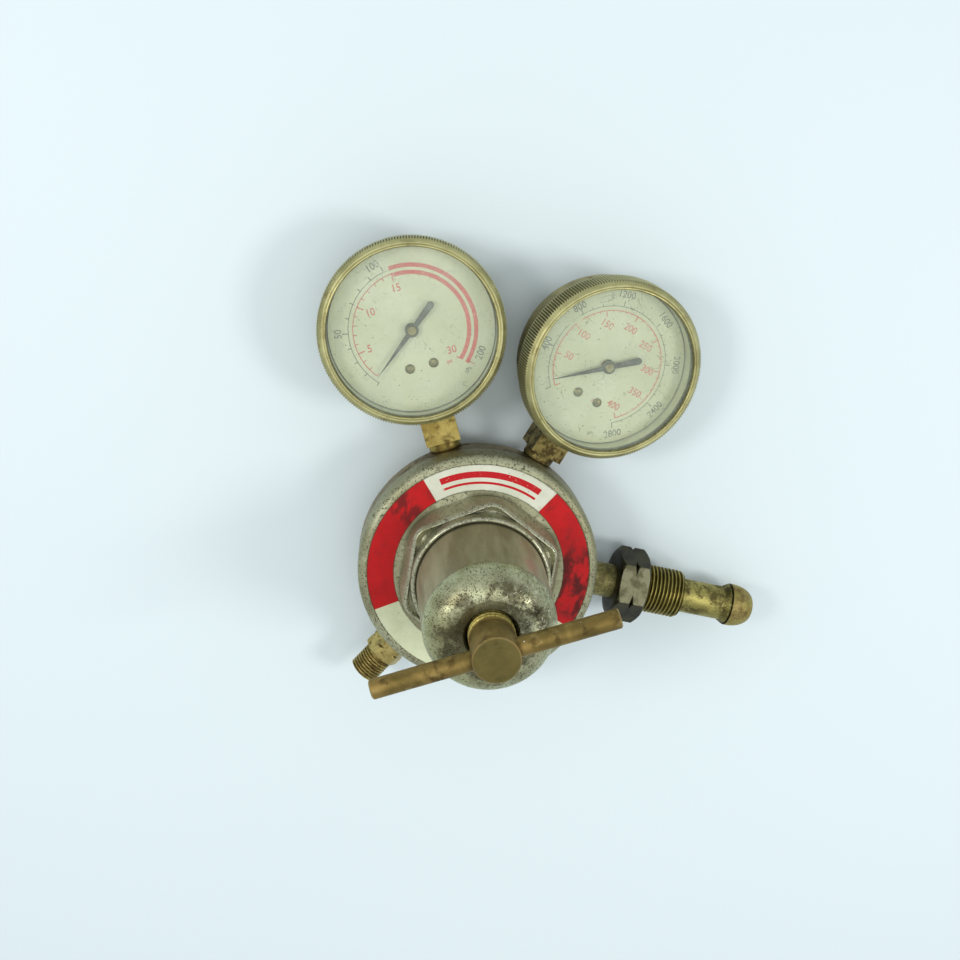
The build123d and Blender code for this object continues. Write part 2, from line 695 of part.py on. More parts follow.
def gauge_movement(prefix, face):
    """Bourdon tube, movement frame, pinion arbor, sector gear and drag link."""
    with BuildPart() as tube:
        with BuildLine(face.offset(TUBE_Z)) as path:
            CenterArc((0, 0), TUBE_R, TUBE_START, TUBE_END - TUBE_START - 360)
        with BuildSketch(Plane(path.line @ 0, x_dir=face.z_dir, z_dir=path.line % 0)):
            Ellipse(TUBE_HALF, 1.5)
            Ellipse(TUBE_HALF - 0.6, 0.9, mode=Mode.SUBTRACT)
        sweep(path=path.line)
    tube.part.label = f"{prefix}_bourdon_tube"

    tip_angle = TUBE_END - 5
    tip_x, tip_y = polar(TUBE_R, tip_angle)
    with BuildPart() as tip:
        with BuildSketch(face.offset(TUBE_Z - TUBE_HALF)):
            with Locations((tip_x, tip_y)):
                Rectangle(4.4, 4.4, rotation=tip_angle)
        extrude(amount=LINK_Z - 0.3 - TUBE_Z + TUBE_HALF)
    tip.part.label = f"{prefix}_tube_tip"

    pivot_y = SECTOR_PIVOT
    with BuildPart() as frame:
        for level in (PLATE_LOW_Z, PLATE_HIGH_Z):
            with BuildSketch(face.offset(level)):
                with Locations((0, pivot_y / 2 - 1)):
                    SlotCenterToCenter(abs(pivot_y), 13, rotation=90)
                with Locations((0, 0), (0, pivot_y)):
                    Circle(0.9, mode=Mode.SUBTRACT)
            extrude(amount=PLATE_T)
        with BuildSketch(face.offset(PLATE_LOW_Z)):
            with Locations(*((side * DIAL_SCREW_AT[0], DIAL_SCREW_AT[1]) for side in (-1, 1))):
                Circle(1.5)
        extrude(amount=DIAL_Z - PLATE_LOW_Z)
        with BuildSketch(face.offset(PLATE_HIGH_Z)):
            with Locations(*((side * DIAL_SCREW_AT[0], DIAL_SCREW_AT[1]) for side in (-1, 1))):
                Circle(0.8)
        extrude(amount=DIAL_Z, mode=Mode.SUBTRACT)
    frame.part.label = f"{prefix}_movement_frame"

    pinion_step = 360 / PINION_TEETH
    with BuildPart() as arbor:
        with BuildSketch(face.offset(PLATE_LOW_Z + 0.1)):
            Circle(0.8)
        extrude(amount=POINTER_Z + POINTER_T - PLATE_LOW_Z - 0.1)
        with BuildSketch(face.offset(SECTOR_Z - 0.5)):
            with BuildLine():
                Polyline(
                    *tooth_points(PINION_TEETH, [-90 + pinion_step * n for n in range(PINION_TEETH)]),
                    close=True,
                )
            make_face()
        extrude(amount=SECTOR_T + 1)
    arbor.part.label = f"{prefix}_pinion_arbor"

    sector_step = 360 / SECTOR_TEETH
    rim_r = GEAR_MODULE * SECTOR_TEETH / 2 - 2.4
    angles = [90 + sector_step * (n + 0.5) for n in range(-11, 2)]
    pivot = Plane(face.origin + face.y_dir * pivot_y, x_dir=face.x_dir, z_dir=face.z_dir)
    with BuildPart() as sector:
        with BuildSketch(pivot.offset(SECTOR_Z)):
            with BuildLine():
                teeth = tooth_points(SECTOR_TEETH, angles)
                Polyline(*teeth, polar(rim_r, angles[-1] + 1), polar(rim_r, angles[0] - 1), close=True)
            make_face()
            middle = (angles[0] + angles[-1]) / 2
            with BuildLine():
                Polyline(
                    polar(1.6, middle - 90),
                    polar(rim_r + 1.2, middle - 8),
                    polar(rim_r + 1.2, middle + 8),
                    polar(1.6, middle + 90),
                    close=True,
                )
            make_face()
            Circle(2.2)
            with Locations(polar(TAIL_REACH / 2, TAIL_ANGLE)):
                SlotCenterToCenter(TAIL_REACH, 2.4, rotation=TAIL_ANGLE)
        extrude(amount=SECTOR_T)
        with BuildSketch(pivot.offset(PLATE_LOW_Z + 0.1)):
            Circle(0.8)
        extrude(amount=PLATE_HIGH_Z + PLATE_T - PLATE_LOW_Z - 0.2)
        with BuildSketch(pivot.offset(SECTOR_Z)):
            with Locations(polar(TAIL_REACH, TAIL_ANGLE)):
                Circle(0.55)
        extrude(amount=LINK_Z + LINK_T - SECTOR_Z + 0.2)
    sector.part.label = f"{prefix}_sector_gear"

    tail = Vector(*polar(TAIL_REACH, TAIL_ANGLE)) + Vector(0, pivot_y)
    reach = Vector(tip_x, tip_y) - tail
    middle = tail + reach / 2
    angle = atan2(reach.Y, reach.X) * 180 / pi
    with BuildPart() as link:
        with BuildSketch(face.offset(LINK_Z)):
            with Locations((middle.X, middle.Y)):
                SlotCenterToCenter(reach.length, 2 * LINK_HALF_WIDTH, rotation=angle)
            with Locations((tail.X, tail.Y), (tip_x, tip_y)):
                Circle(0.6, mode=Mode.SUBTRACT)
        extrude(amount=LINK_T)
    link.part.label = f"{prefix}_drag_link"
    return [tube, tip, frame, arbor, sector, link]


def gauge_face(prefix, face, rest_angle):
    """Dial, its two screws, pointer and pointer bush."""
    screws = [(side * DIAL_SCREW_AT[0], DIAL_SCREW_AT[1]) for side in (-1, 1)]
    with BuildPart() as dial:
        with BuildSketch(face.offset(DIAL_Z)):
            Circle(DIAL_R)
            Circle(3.0, mode=Mode.SUBTRACT)
            with Locations(*screws):
                Circle(0.8, mode=Mode.SUBTRACT)
        extrude(amount=DIAL_T)
    dial.part.label = f"{prefix}_dial"

    with BuildPart() as dial_screws:
        for at in screws:
            origin = face.origin + face.x_dir * at[0] + face.y_dir * at[1]
            place = Plane(origin, x_dir=face.x_dir, z_dir=face.z_dir)
            spin(
                place,
                (0, PLATE_HIGH_Z + 0.2),
                (0.8, PLATE_HIGH_Z + 0.2),
                (0.8, DIAL_Z + DIAL_T),
                (DIAL_SCREW_R, DIAL_Z + DIAL_T),
                (DIAL_SCREW_R, DIAL_Z + DIAL_T + 0.3),
                (DIAL_SCREW_R - 0.8, DIAL_Z + DIAL_T + 0.8),
                (0, DIAL_Z + DIAL_T + 0.95),
            )
    dial_screws.part.label = f"{prefix}_dial_screws"

    with BuildPart() as pointer:
        with BuildSketch(face.offset(POINTER_Z)):
            with BuildLine():
                Polyline(
                    polar(POINTER_REACH, rest_angle),
                    polar(2.9, rest_angle + 22),
                    polar(2.9, rest_angle - 22),
                    close=True,
                )
            make_face()
            Circle(3.0)
            with BuildLine():
                Polyline(
                    polar(2.5, rest_angle + 155),
                    polar(POINTER_TAIL - 1.6, rest_angle + 180 - 6.5),
                    polar(POINTER_TAIL - 1.6, rest_angle + 180 + 6.5),
                    polar(2.5, rest_angle - 155),
                    close=True,
                )
            make_face()
            with Locations(polar(POINTER_TAIL - 1.6, rest_angle + 180)):
                Circle(1.54)
            Circle(0.8, mode=Mode.SUBTRACT)
        extrude(amount=POINTER_T)
    pointer.part.label = f"{prefix}_pointer"

    top = POINTER_Z + POINTER_T
    with BuildPart() as bush:
        spin(face, (0, top), (2.2, top), (2.2, top + 0.5), (1.8, top + 0.9), (0, top + 0.9))
    bush.part.label = f"{prefix}_pointer_bush"
    return [dial, dial_screws, pointer, bush]


pieces = [body, nozzle, valve_stem, valve_spring, diaphragm, slip_ring, diaphragm_plate, range_spring]
pieces += [spring_button, spring_case, bonnet_ring, label_ring, adjusting_screw, t_bar]
pieces += [inlet_nipple, inlet_filter, inlet_nut, outlet_fitting]
for name, (distance, direction, height, lean, rest_angle) in GAUGES.items():
    plane = gauge_frame(distance, direction, height, lean)
    pieces += gauge_housing(name, plane, distance)
    pieces += gauge_movement(name, plane)
    pieces += gauge_face(name, plane, rest_angle)

os.makedirs("parts", exist_ok=True)
for piece in pieces:
    export_step(piece.part, f"parts/{piece.part.label}.step")
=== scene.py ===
"""Looks of a gas cylinder pressure regulator with two gauges, built round its CAD model."""

from math import atan2, cos, degrees, pi, radians, sin, sqrt, tan

import bpy
from mathutils import Matrix, Vector


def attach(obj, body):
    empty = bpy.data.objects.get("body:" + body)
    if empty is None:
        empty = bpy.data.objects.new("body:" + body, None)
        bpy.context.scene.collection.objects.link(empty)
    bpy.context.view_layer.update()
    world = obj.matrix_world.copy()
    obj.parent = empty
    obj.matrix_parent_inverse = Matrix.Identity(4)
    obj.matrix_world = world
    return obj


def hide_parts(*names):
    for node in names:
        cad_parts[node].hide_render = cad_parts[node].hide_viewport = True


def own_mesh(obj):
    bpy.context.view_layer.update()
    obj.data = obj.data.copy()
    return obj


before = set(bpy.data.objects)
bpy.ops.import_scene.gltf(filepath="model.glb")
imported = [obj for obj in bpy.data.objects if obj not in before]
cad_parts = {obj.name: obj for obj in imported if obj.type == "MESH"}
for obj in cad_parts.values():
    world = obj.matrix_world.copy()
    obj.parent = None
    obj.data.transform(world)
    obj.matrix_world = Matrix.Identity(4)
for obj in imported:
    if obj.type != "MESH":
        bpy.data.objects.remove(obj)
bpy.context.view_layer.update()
MM = 0.001
UP = (0, 0, 1)


# --- Mixing finishes ------------------------------------------------------------------------------
class Amount:
    """A number that varies over a surface. Sums, products and comparisons add the nodes they need."""

    def __init__(self, finish, socket):
        self.finish = finish
        self.socket = socket

    def maths(self, operation, *others, clamp=False):
        values = dict(enumerate((self, *others)))
        return self.finish.add("Math", {"operation": operation, "use_clamp": clamp}, values)

    def __add__(self, other):
        return self.maths("ADD", other)

    def __sub__(self, other):
        return self.maths("SUBTRACT", other)

    def __rsub__(self, other):
        return self.finish.add("Math", {"operation": "SUBTRACT"}, {0: other, 1: self})

    def __mul__(self, other):
        return self.maths("MULTIPLY", other)

    def __pow__(self, other):
        return self.maths("POWER", other)

    def __gt__(self, other):
        return self.maths("GREATER_THAN", other)

    def __lt__(self, other):
        return self.maths("LESS_THAN", other)

    def __abs__(self):
        return self.maths("ABSOLUTE")

    __radd__ = __add__
    __rmul__ = __mul__

    def most(self, other):
        return self.maths("MAXIMUM", other)

    def clamped(self):
        return self.maths("ADD", 0.0, clamp=True)

    def rise(self, low, high):
        """0 at low, 1 at high, smooth between them, and level beyond. Falls where low is the greater."""
        return self.finish.add("MapRange", {"interpolation_type": "SMOOTHSTEP"}, {0: self, 1: low, 2: high})


class Finish:
    """A material, mixed from nodes."""

    def __init__(self, name, metal=0.0, **constants):
        self.material = bpy.data.materials.new(name)
        self.material.use_nodes = True
        self.tree = self.material.node_tree
        self.shader = self.tree.nodes["Principled BSDF"]
        self.shader.inputs["Metallic"].default_value = metal
        for socket, value in constants.items():
            self.shader.inputs[socket.replace("_", " ")].default_value = value
        self.place = self.add("TexCoord", out="Object")

    def add(self, kind, settings=None, sockets=None, out=0):
        """Adds a node: its settings first, then its sockets' values or links. Returns one output."""
        node = self.tree.nodes.new("ShaderNode" + kind)
        for name, value in (settings or {}).items():
            setattr(node, name, value)
        for name, value in (sockets or {}).items():
            if isinstance(value, Amount):
                self.tree.links.new(value.socket, node.inputs[name])
            elif isinstance(value, (tuple, list)) and node.inputs[name].type == "RGBA":
                node.inputs[name].default_value = (*value[:3], 1.0)
            else:
                node.inputs[name].default_value = value
        return Amount(self, node.outputs[out])

    def about(self, origin, out, across=(1, 0, 0)):
        """Distance from the axis, height along it and angle round it, in millimetres and degrees."""
        z = Vector(out).normalized()
        x = (Vector(across) - z * z.dot(Vector(across))).normalized()
        y = z.cross(x)
        offset = self.add("VectorMath", {"operation": "SUBTRACT"}, {0: self.place, 1: tuple(origin)})
        parts = []
        for axis in (x, y, z):
            settings = {"operation": "DOT_PRODUCT"}
            parts.append(self.add("VectorMath", settings, {0: offset, 1: tuple(axis)}, "Value") * 1000)
        distance = (parts[0] * parts[0] + parts[1] * parts[1]) ** 0.5
        angle = parts[1].maths("ARCTAN2", parts[0]) * degrees(1)
        return distance, parts[2], angle

    def cloud(self, size, detail=4.0, rough=0.55, warp=0.0, stretch=None, seed=0.0):
        """Noise whose patches are about size millimetres across, from 0 to 1."""
        where = self.place
        if stretch or seed:
            settings = {"vector_type": "POINT"}
            place = (seed * 0.37, seed * 0.61, seed * 0.23)
            sockets = {"Vector": where, "Scale": stretch or (1, 1, 1), "Location": place}
            where = self.add("Mapping", settings, sockets)
        sockets = {"Vector": where, "Scale": 1000 / size, "Detail": detail, "Roughness": rough}
        sockets["Distortion"] = warp
        return self.add("TexNoise", {}, sockets)

    def dots(self, size, seed=0.0):
        """Distance to the nearest of many scattered points, about size millimetres apart."""
        settings = {"vector_type": "POINT"}
        place = (seed * 0.41, seed * 0.17, seed * 0.73)
        where = self.add("Mapping", settings, {"Vector": self.place, "Location": place})
        return self.add("TexVoronoi", {}, {"Vector": where, "Scale": 1000 / size}, "Distance")

    def blend(self, share, base, top):
        """A colour that goes from base to top as share goes from 0 to 1."""
        return self.add("Mix", {"data_type": "RGBA"}, {0: share, 6: base, 7: top}, 2)

    def hollow(self, depth=2.0):
        """1 in corners and grooves, 0 on open faces, from ambient occlusion: the mask for painted shade."""
        seen = self.add("AmbientOcclusion", {"samples": 8}, {"Distance": depth * MM}, "AO")
        return 1 - seen

    def bump(self, height, depth, strength):
        """A normal from a height of 0 to 1 that stands for depth millimetres."""
        return self.add("Bump", {}, {"Height": height, "Distance": depth * MM, "Strength": strength})

    def set(self, **values):
        """Feeds the shader's own sockets and returns the material."""
        for name, value in values.items():
            socket = self.shader.inputs[name.replace("_", " ")]
            if isinstance(value, Amount):
                self.tree.links.new(value.socket, socket)
            else:
                socket.default_value = (*value, 1.0) if isinstance(value, tuple) else value
        return self.material


def paint(red, green, blue):
    """A colour given as on a screen, 0 to 255, in the numbers that shaders use."""
    return tuple((c / 255) ** 2.2 for c in (red, green, blue))


# --- Where things are -----------------------------------------------------------------------------
def level_way(angle):
    """Unit vector in the level plane, angle degrees anticlockwise from x."""
    return Vector((cos(radians(angle)), sin(radians(angle)), 0))


class Gauge:
    """A gauge's own axes: x across, y away from the body along the stem, z out of the dial."""

    def __init__(self, name, distance, direction, height, lean, seed):
        out = level_way(direction)
        side = Vector((out.y, -out.x, 0))
        self.name = name
        self.z = Vector((0, 0, cos(radians(lean)))) + side * sin(radians(lean))
        self.y = out
        self.x = out.cross(self.z)
        self.origin = (out * distance + Vector((0, 0, height))) * MM
        self.seed = seed

    def axes(self):
        rows = Matrix((self.x, self.y, self.z)).transposed().to_4x4()
        return Matrix.Translation(self.origin) @ rows @ Matrix.Scale(MM, 4)


DELIVERY = Gauge("delivery_gauge", distance=111.0, direction=118.0, height=19.8, lean=0.0, seed=267.0)
SUPPLY = Gauge("supply_gauge", distance=107.0, direction=71.9, height=19.3, lean=11.46, seed=268.0)
BODY_CENTRE = (0, 0, 0)
INLET_HEIGHT = 18.6
INLET_CENTRE = (0, 0, INLET_HEIGHT * MM)
INLET_WAY = (1, 0, 0)
INLET_TURN = 18.6  # degrees that the nut is turned from having a flat on top
OUTLET_HEIGHT = 21.0
OUTLET_WAY = level_way(240)
BAR_CENTRE = (0, 0, 130.55 * MM)
BAR_WAY = level_way(29)
BONNET_TURN = 3.5


def axes_along(origin, out, across):
    """Axes in millimetres with z along out and x as near across as it can be."""
    z = Vector(out).normalized()
    x = (Vector(across) - z * z.dot(Vector(across))).normalized()
    rows = Matrix((x, z.cross(x), z)).transposed().to_4x4()
    return Matrix.Translation(Vector(origin) * MM) @ rows @ Matrix.Scale(MM, 4)


BONNET_AXES = axes_along(BODY_CENTRE, UP, (1, 0, 0))
INLET_AXES = axes_along((0, 0, INLET_HEIGHT), INLET_WAY, (0, 1, 0))
OUTLET_AXES = axes_along((0, 0, OUTLET_HEIGHT), OUTLET_WAY, (-OUTLET_WAY.y, OUTLET_WAY.x, 0))


# --- Making pieces --------------------------------------------------------------------------------
def link_piece(name, mesh, finish, body, slot, *stands_for):
    """Makes an object of a mesh in place, gives it its finish and sets it on its body."""
    piece = bpy.data.objects.new(name, mesh)
    bpy.context.scene.collection.objects.link(piece)
    mesh.materials.append(finish)
    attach(piece, body)
    if stands_for:
        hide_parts(*stands_for)
    return piece


def turned_mesh(name, axes, rings, steps, crease=35, turn=0.0):
    """A closed turned shape. Each ring is (height, radius), and a radius may vary with the angle."""
    mesh = bpy.data.meshes.new(name)
    points = []
    for height, radius in rings:
        for step in range(steps):
            angle = step * 360 / steps
            r = radius(angle) if callable(radius) else radius
            t = radians(angle + turn)
            points.append(axes @ Vector((r * cos(t), r * sin(t), height)))
    faces = []
    for ring in range(len(rings)):
        near, far = ring * steps, (ring + 1) % len(rings) * steps
        for step in range(steps):
            after = (step + 1) % steps
            faces.append((near + step, near + after, far + after, far + step))
    mesh.from_pydata(points, [], faces)
    mesh.shade_smooth()
    mesh.set_sharp_from_angle(angle=radians(crease))
    return mesh


def arc_rings(centre, size, start, end, count):
    """Rings round a quarter-turn edge, from angle start to end in the radius and height plane."""
    rings = []
    for step in range(count + 1):
        t = radians(start + (end - start) * step / count)
        rings.append((centre[1] + size * sin(t), centre[0] + size * cos(t)))
    return rings


def hexagon(flats, corner):
    """Radius of a hexagon with rounded corners, by the angle from the middle of a flat."""
    middle = (flats / 2 - corner) / cos(pi / 6)
    meets = degrees(atan2((flats / 2 - corner) * tan(pi / 6), flats / 2))

    def radius(angle):
        off = abs((angle + 30) % 60 - 30)
        if off <= meets:
            return flats / 2 / cos(radians(off))
        away = radians(30 - off)
        return middle * cos(away) + sqrt(corner**2 - (middle * sin(away)) ** 2)

    return radius


def between(first, second, share):
    """A radius that lies between two others."""

    def radius(angle):
        a = first(angle) if callable(first) else first
        b = second(angle) if callable(second) else second
        return a + (b - a) * share

    return radius


def left_hand_thread(radius, pitch, height):
    """Radius round a left-hand thread at one height."""
    depth = 0.62 * pitch

    def at(angle):
        phase = (height + pitch * angle / 360) / pitch
        groove = 0.5 - 0.66 * cos(2 * pi * phase)
        return radius - depth * min(1.0, max(0.0, groove))

    return at


def notched_hexagon(flats, start, end, height):
    """Radius of a bevelled hexagon bar whose corners have a V notch half way along."""
    corner = flats / sqrt(3)
    bevel = corner - flats / 2
    near = min(height - start, end - height)
    rounded = flats / 2 - 0.3 + near * 1.6
    notch = flats / 2 + 0.25 * bevel + abs(height - (start + end) / 2) * (1 + 0.75 * bevel) / 1.6
    sides = hexagon(flats, 0.25)

    def radius(angle):
        return min(sides(angle), rounded, notch)

    return radius


def steps_between(low, high, count):
    return [low + (high - low) * n / count for n in range(count + 1)]


# --- Finishes -------------------------------------------------------------------------------------
def worn_nickel():
    """Dull nickel plate over brass: pitted, browner low on the skirt, smoother on its ridges with a painted
    highlight along them, and painted shade in its hollows.
    """
    mix = Finish("worn_nickel_plate", metal=0.82)
    radius, height = mix.about(BODY_CENTRE, UP)[:2]
    broad = mix.cloud(22, detail=5, rough=0.6)
    fine = mix.cloud(1.6, detail=5, rough=0.7, seed=3)
    grain = mix.cloud(0.5, detail=2, seed=5)
    colour = mix.blend(broad.rise(0.35, 0.65), paint(146, 144, 114), paint(178, 178, 148))
    skirt = height.rise(42.0, 38.5)
    colour = mix.blend(skirt * (0.35 + 0.3 * broad), colour, paint(146, 142, 108))
    # Painted highlight: lighter and smoother along the hexagon's ridge and the top of the collar.
    ridge = abs(height - 52.9).rise(1.9, 0.6) * (radius > 31.0)
    collar = abs(height - 58.2).rise(1.2, 0.3)
    painted_highlight = (ridge + collar).clamped() * mix.cloud(9, detail=4, seed=23).rise(0.3, 0.55)
    colour = mix.blend(painted_highlight * 0.4, colour, paint(216, 215, 190))
    pits = (mix.dots(1.3, 2) < 0.3) * fine.rise(0.46, 0.58) * broad.rise(0.36, 0.56)
    freckles = fine.rise(0.54, 0.66) * broad.rise(0.3, 0.6)
    shoulder = abs(height - 41.6).rise(2.6, 0.6) * (radius > 49.0)
    crown = height.rise(50.5, 52.5)
    salt = (mix.dots(0.8, 8) < 0.36) * fine.rise(0.42, 0.54) * (0.25 + 0.75 * shoulder.most(crown))
    marks = pits.most(freckles).most(salt)
    colour = mix.blend(marks * 0.75, colour, paint(66, 58, 42))
    # Painted shade, with some grime, darkens the corners and grooves that ambient occlusion finds.
    grime_and_shade = (mix.hollow(2.2) * 1.5).clamped()
    colour = mix.blend(grime_and_shade * 0.6, colour, paint(70, 62, 46))
    flank = (height > 42.3) * (height < 52.5)
    rough = 0.4 + 0.2 * broad + 0.2 * marks + 0.2 * grime_and_shade + 0.1 * flank - 0.2 * painted_highlight
    bumps = mix.bump(fine * 0.7 + grain * 0.3 - pits, 0.06, 0.6)
    return mix.set(Base_Color=colour, Roughness=rough.clamped(), Normal=bumps)


def spring_case_finish():
    """Worn copper-brown cylinder under a pitted nickel dome."""
    mix = Finish("spring_case_plate")
    radius, height, side = mix.about(BODY_CENTRE, UP, level_way(42))
    broad = mix.cloud(18, detail=5, rough=0.6, seed=7)
    fine = mix.cloud(1.4, detail=6, rough=0.72, seed=2)
    streak = mix.cloud(9, detail=4, stretch=(1, 1, 0.18), seed=4)
    wall = mix.blend(streak.rise(0.35, 0.65), paint(138, 132, 100), paint(168, 164, 130))
    copper = mix.cloud(11, detail=4, stretch=(1, 1, 0.3), seed=9).rise(0.54, 0.7) * abs(side).rise(75, 30)
    wall = mix.blend(copper * 0.6, wall, paint(182, 128, 112))
    dome = mix.blend(broad.rise(0.35, 0.65), paint(146, 144, 108), paint(186, 187, 152))
    stain = mix.cloud(9, detail=5, rough=0.65, seed=12).rise(0.46, 0.6) * radius.rise(26.5, 20)
    ring = (radius + broad * 6).rise(20.5, 15.0) * 0.8
    low = abs(side).rise(105, 150) * radius.rise(17, 22)
    dome = mix.blend(low * 0.5, dome, paint(176, 176, 128))
    dome = mix.blend(stain.most(ring) * 0.75, dome, paint(74, 66, 46))
    front = abs(side).rise(62, 25)
    burnt = mix.cloud(2.6, detail=5, rough=0.7, seed=41).rise(0.44, 0.54)
    burnt = front * abs(radius - 18).rise(6, 2) * burnt
    sparks = front * mix.cloud(1.7, detail=5, rough=0.75, seed=43).rise(0.54, 0.6)
    dome = mix.blend(burnt * 0.7, dome, paint(58, 52, 40))
    dome = mix.blend(sparks * 0.6, dome, paint(214, 214, 188))
    top = (height + fine * 1.2).rise(103.4, 104.4)
    colour = mix.blend(top, wall, dome)
    cluster = mix.cloud(5, detail=5, rough=0.65, seed=21).rise(0.36, 0.56)
    pits = (mix.dots(0.7, 3) < 0.42) * mix.cloud(1.0, detail=3, seed=31).rise(0.4, 0.52)
    pocks = (mix.dots(1.5, 14) < 0.26) * mix.cloud(3, seed=33).rise(0.5, 0.6)
    freckles = fine.rise(0.54, 0.64) * (0.12 + 0.5 * top)
    marks = (pits * (0.2 + 0.8 * cluster) * top).most(pocks * top).most(freckles * (0.4 + 0.6 * cluster))
    colour = mix.blend(marks * 0.72, colour, paint(66, 62, 46))
    seam = abs(height - 103.4).rise(1.2, 0.2) * fine.rise(0.4, 0.6)
    foot = height.rise(61.5, 58.6) * (height > 58.0)
    colour = mix.blend((seam * 0.35).most(foot * 0.7), colour, paint(70, 60, 44))
    rough = 0.3 + 0.14 * broad + 0.28 * marks + 0.16 * (1 - top)
    bumps = mix.bump(fine * 0.6 - pits, 0.07, 0.6)
    metal = 0.72 + 0.2 * top
    return mix.set(Base_Color=colour, Roughness=rough.clamped(), Metallic=metal, Normal=bumps)


def old_brass(name, dark, light, patina, share=0.5, size=9.0, grooves=2.0, seed=0.0):
    """Brass that has aged in patches, with painted shade and dark patina in its grooves."""
    mix = Finish(name, metal=1.0)
    broad = mix.cloud(size, detail=5, rough=0.62, warp=0.4, seed=seed + 1)
    fine = mix.cloud(1.1, detail=5, rough=0.7, seed=seed + 2)
    colour = mix.blend(broad.rise(0.3, 0.7), dark, light)
    patches = mix.cloud(size * 0.6, detail=6, rough=0.66, seed=seed + 4)
    patches = patches.rise(0.62 - 0.24 * share, 0.8 - 0.24 * share)
    freckles = fine.rise(0.6, 0.72)
    age = (patches * 0.85).most(freckles * 0.7)
    colour = mix.blend(age, colour, patina)
    # Painted shade, with dark patina, in the corners and grooves that ambient occlusion finds.
    grime_and_shade = (mix.hollow(grooves) * 1.6).clamped()
    colour = mix.blend(grime_and_shade * 0.72, colour, tuple(c * 0.35 for c in patina))
    rough = 0.34 + 0.16 * broad + 0.22 * age + 0.2 * grime_and_shade
    bumps = mix.bump(fine * 0.7 + broad * 0.3, 0.05, 0.5)
    return mix.set(Base_Color=colour, Roughness=rough.clamped(), Normal=bumps)


def bronze_finish():
    """Handled bronze brown of the screw and its bar, brighter on the screw's top rim and threads, with a
    painted highlight on the bar's end faces and painted shade in the hollows.
    """
    mix = Finish("handled_bronze", metal=0.88)
    radius, height = mix.about(BODY_CENTRE, UP)[:2]
    across, along = mix.about(BAR_CENTRE, BAR_WAY)[:2]
    broad = mix.cloud(12, detail=5, rough=0.6, warp=0.6)
    fine = mix.cloud(1.2, detail=5, rough=0.7, seed=3)
    colour = mix.blend(broad.rise(0.3, 0.7), paint(112, 96, 54), paint(150, 126, 74))
    worn = mix.cloud(4.5, detail=5, seed=8).rise(0.55, 0.7)
    colour = mix.blend(worn * 0.5, colour, paint(162, 142, 92))
    dark = mix.cloud(7, detail=5, seed=11).rise(0.56, 0.7)
    colour = mix.blend(dark * 0.6, colour, paint(70, 56, 34))
    top = (height > 137.1) * (radius < 9.0)
    colour = mix.blend(top * 0.65, colour, paint(94, 90, 54))
    # Lighter on the screw's top rim, and a painted highlight on the bar's end faces.
    rim = abs(radius - 9.2).rise(0.45, 0.15) * (height > 136.4)
    end_highlight = abs(along).rise(48.6, 49.2) * (across < 5)
    colour = mix.blend((rim * 0.4 + end_highlight).clamped() * 0.6, colour, paint(178, 156, 108))
    thread = height.rise(117.0, 116.3)
    bright = mix.blend(fine.rise(0.4, 0.6), paint(160, 142, 72), paint(208, 194, 118))
    colour = mix.blend(thread, colour, bright)
    # Painted shade, with some grime, in the corners and grooves that ambient occlusion finds.
    grime_and_shade = (mix.hollow(1.6) * 1.6).clamped()
    colour = mix.blend(grime_and_shade * 0.7, colour, paint(52, 38, 22))
    dust = (mix.dots(6.5, 5) < 0.045) * (1 - thread)
    colour = mix.blend(dust, colour, paint(226, 222, 204))
    rough = 0.46 + 0.14 * broad + 0.12 * dark - 0.08 * worn + 0.3 * dust
    bumps = mix.bump(fine * 0.7 + worn * 0.3, 0.05, 0.5)
    return mix.set(Base_Color=colour, Roughness=rough.clamped(), Normal=bumps)


def nut_finish():
    """Dark oxidised nut: a painted sheen on the flat that faces up, brassy threads with painted shade in
    their roots.
    """
    mix = Finish("dark_nut_brass", metal=1.0)
    radius, along, angle = mix.about(INLET_CENTRE, INLET_WAY, UP)
    broad = mix.cloud(8, detail=5, rough=0.6, warp=0.5)
    fine = mix.cloud(1.2, detail=5, rough=0.7, seed=3)
    colour = mix.blend(broad.rise(0.3, 0.7), paint(44, 42, 31), paint(72, 69, 52))
    # Painted sheen: the flat that faces up is paler.
    top_flat_sheen = abs(angle + INLET_TURN).rise(31, 29) * (radius > 12.5) * (along > 67.0) * (along < 80.3)
    pale = mix.blend(mix.cloud(5, seed=6).rise(0.4, 0.62), paint(126, 124, 100), paint(92, 90, 68))
    colour = mix.blend(top_flat_sheen * 0.9, colour, pale)
    thread = along.rise(80.6, 81.0)
    brass = mix.blend(mix.cloud(6, seed=9).rise(0.35, 0.65), paint(104, 96, 52), paint(164, 150, 84))
    brass = mix.blend(radius.rise(10.2, 11.1) * 0.5, brass, paint(176, 162, 94))
    colour = mix.blend(thread, colour, brass)
    # Painted shade in the thread roots, and painted shade with some grime in the hollows that ambient
    # occlusion finds.
    root = radius.rise(10.7, 10.2) * thread
    grime_and_shade = (mix.hollow(1.5) * 1.2).clamped().most(root * 0.85)
    colour = mix.blend(grime_and_shade * 0.75, colour, paint(36, 30, 18))
    speck = fine.rise(0.6, 0.7)
    colour = mix.blend(speck * 0.55, colour, paint(52, 44, 32))
    rough = 0.4 + 0.14 * broad + 0.2 * speck + 0.1 * grime_and_shade
    return mix.set(Base_Color=colour, Roughness=rough.clamped(), Normal=mix.bump(fine, 0.05, 0.5))


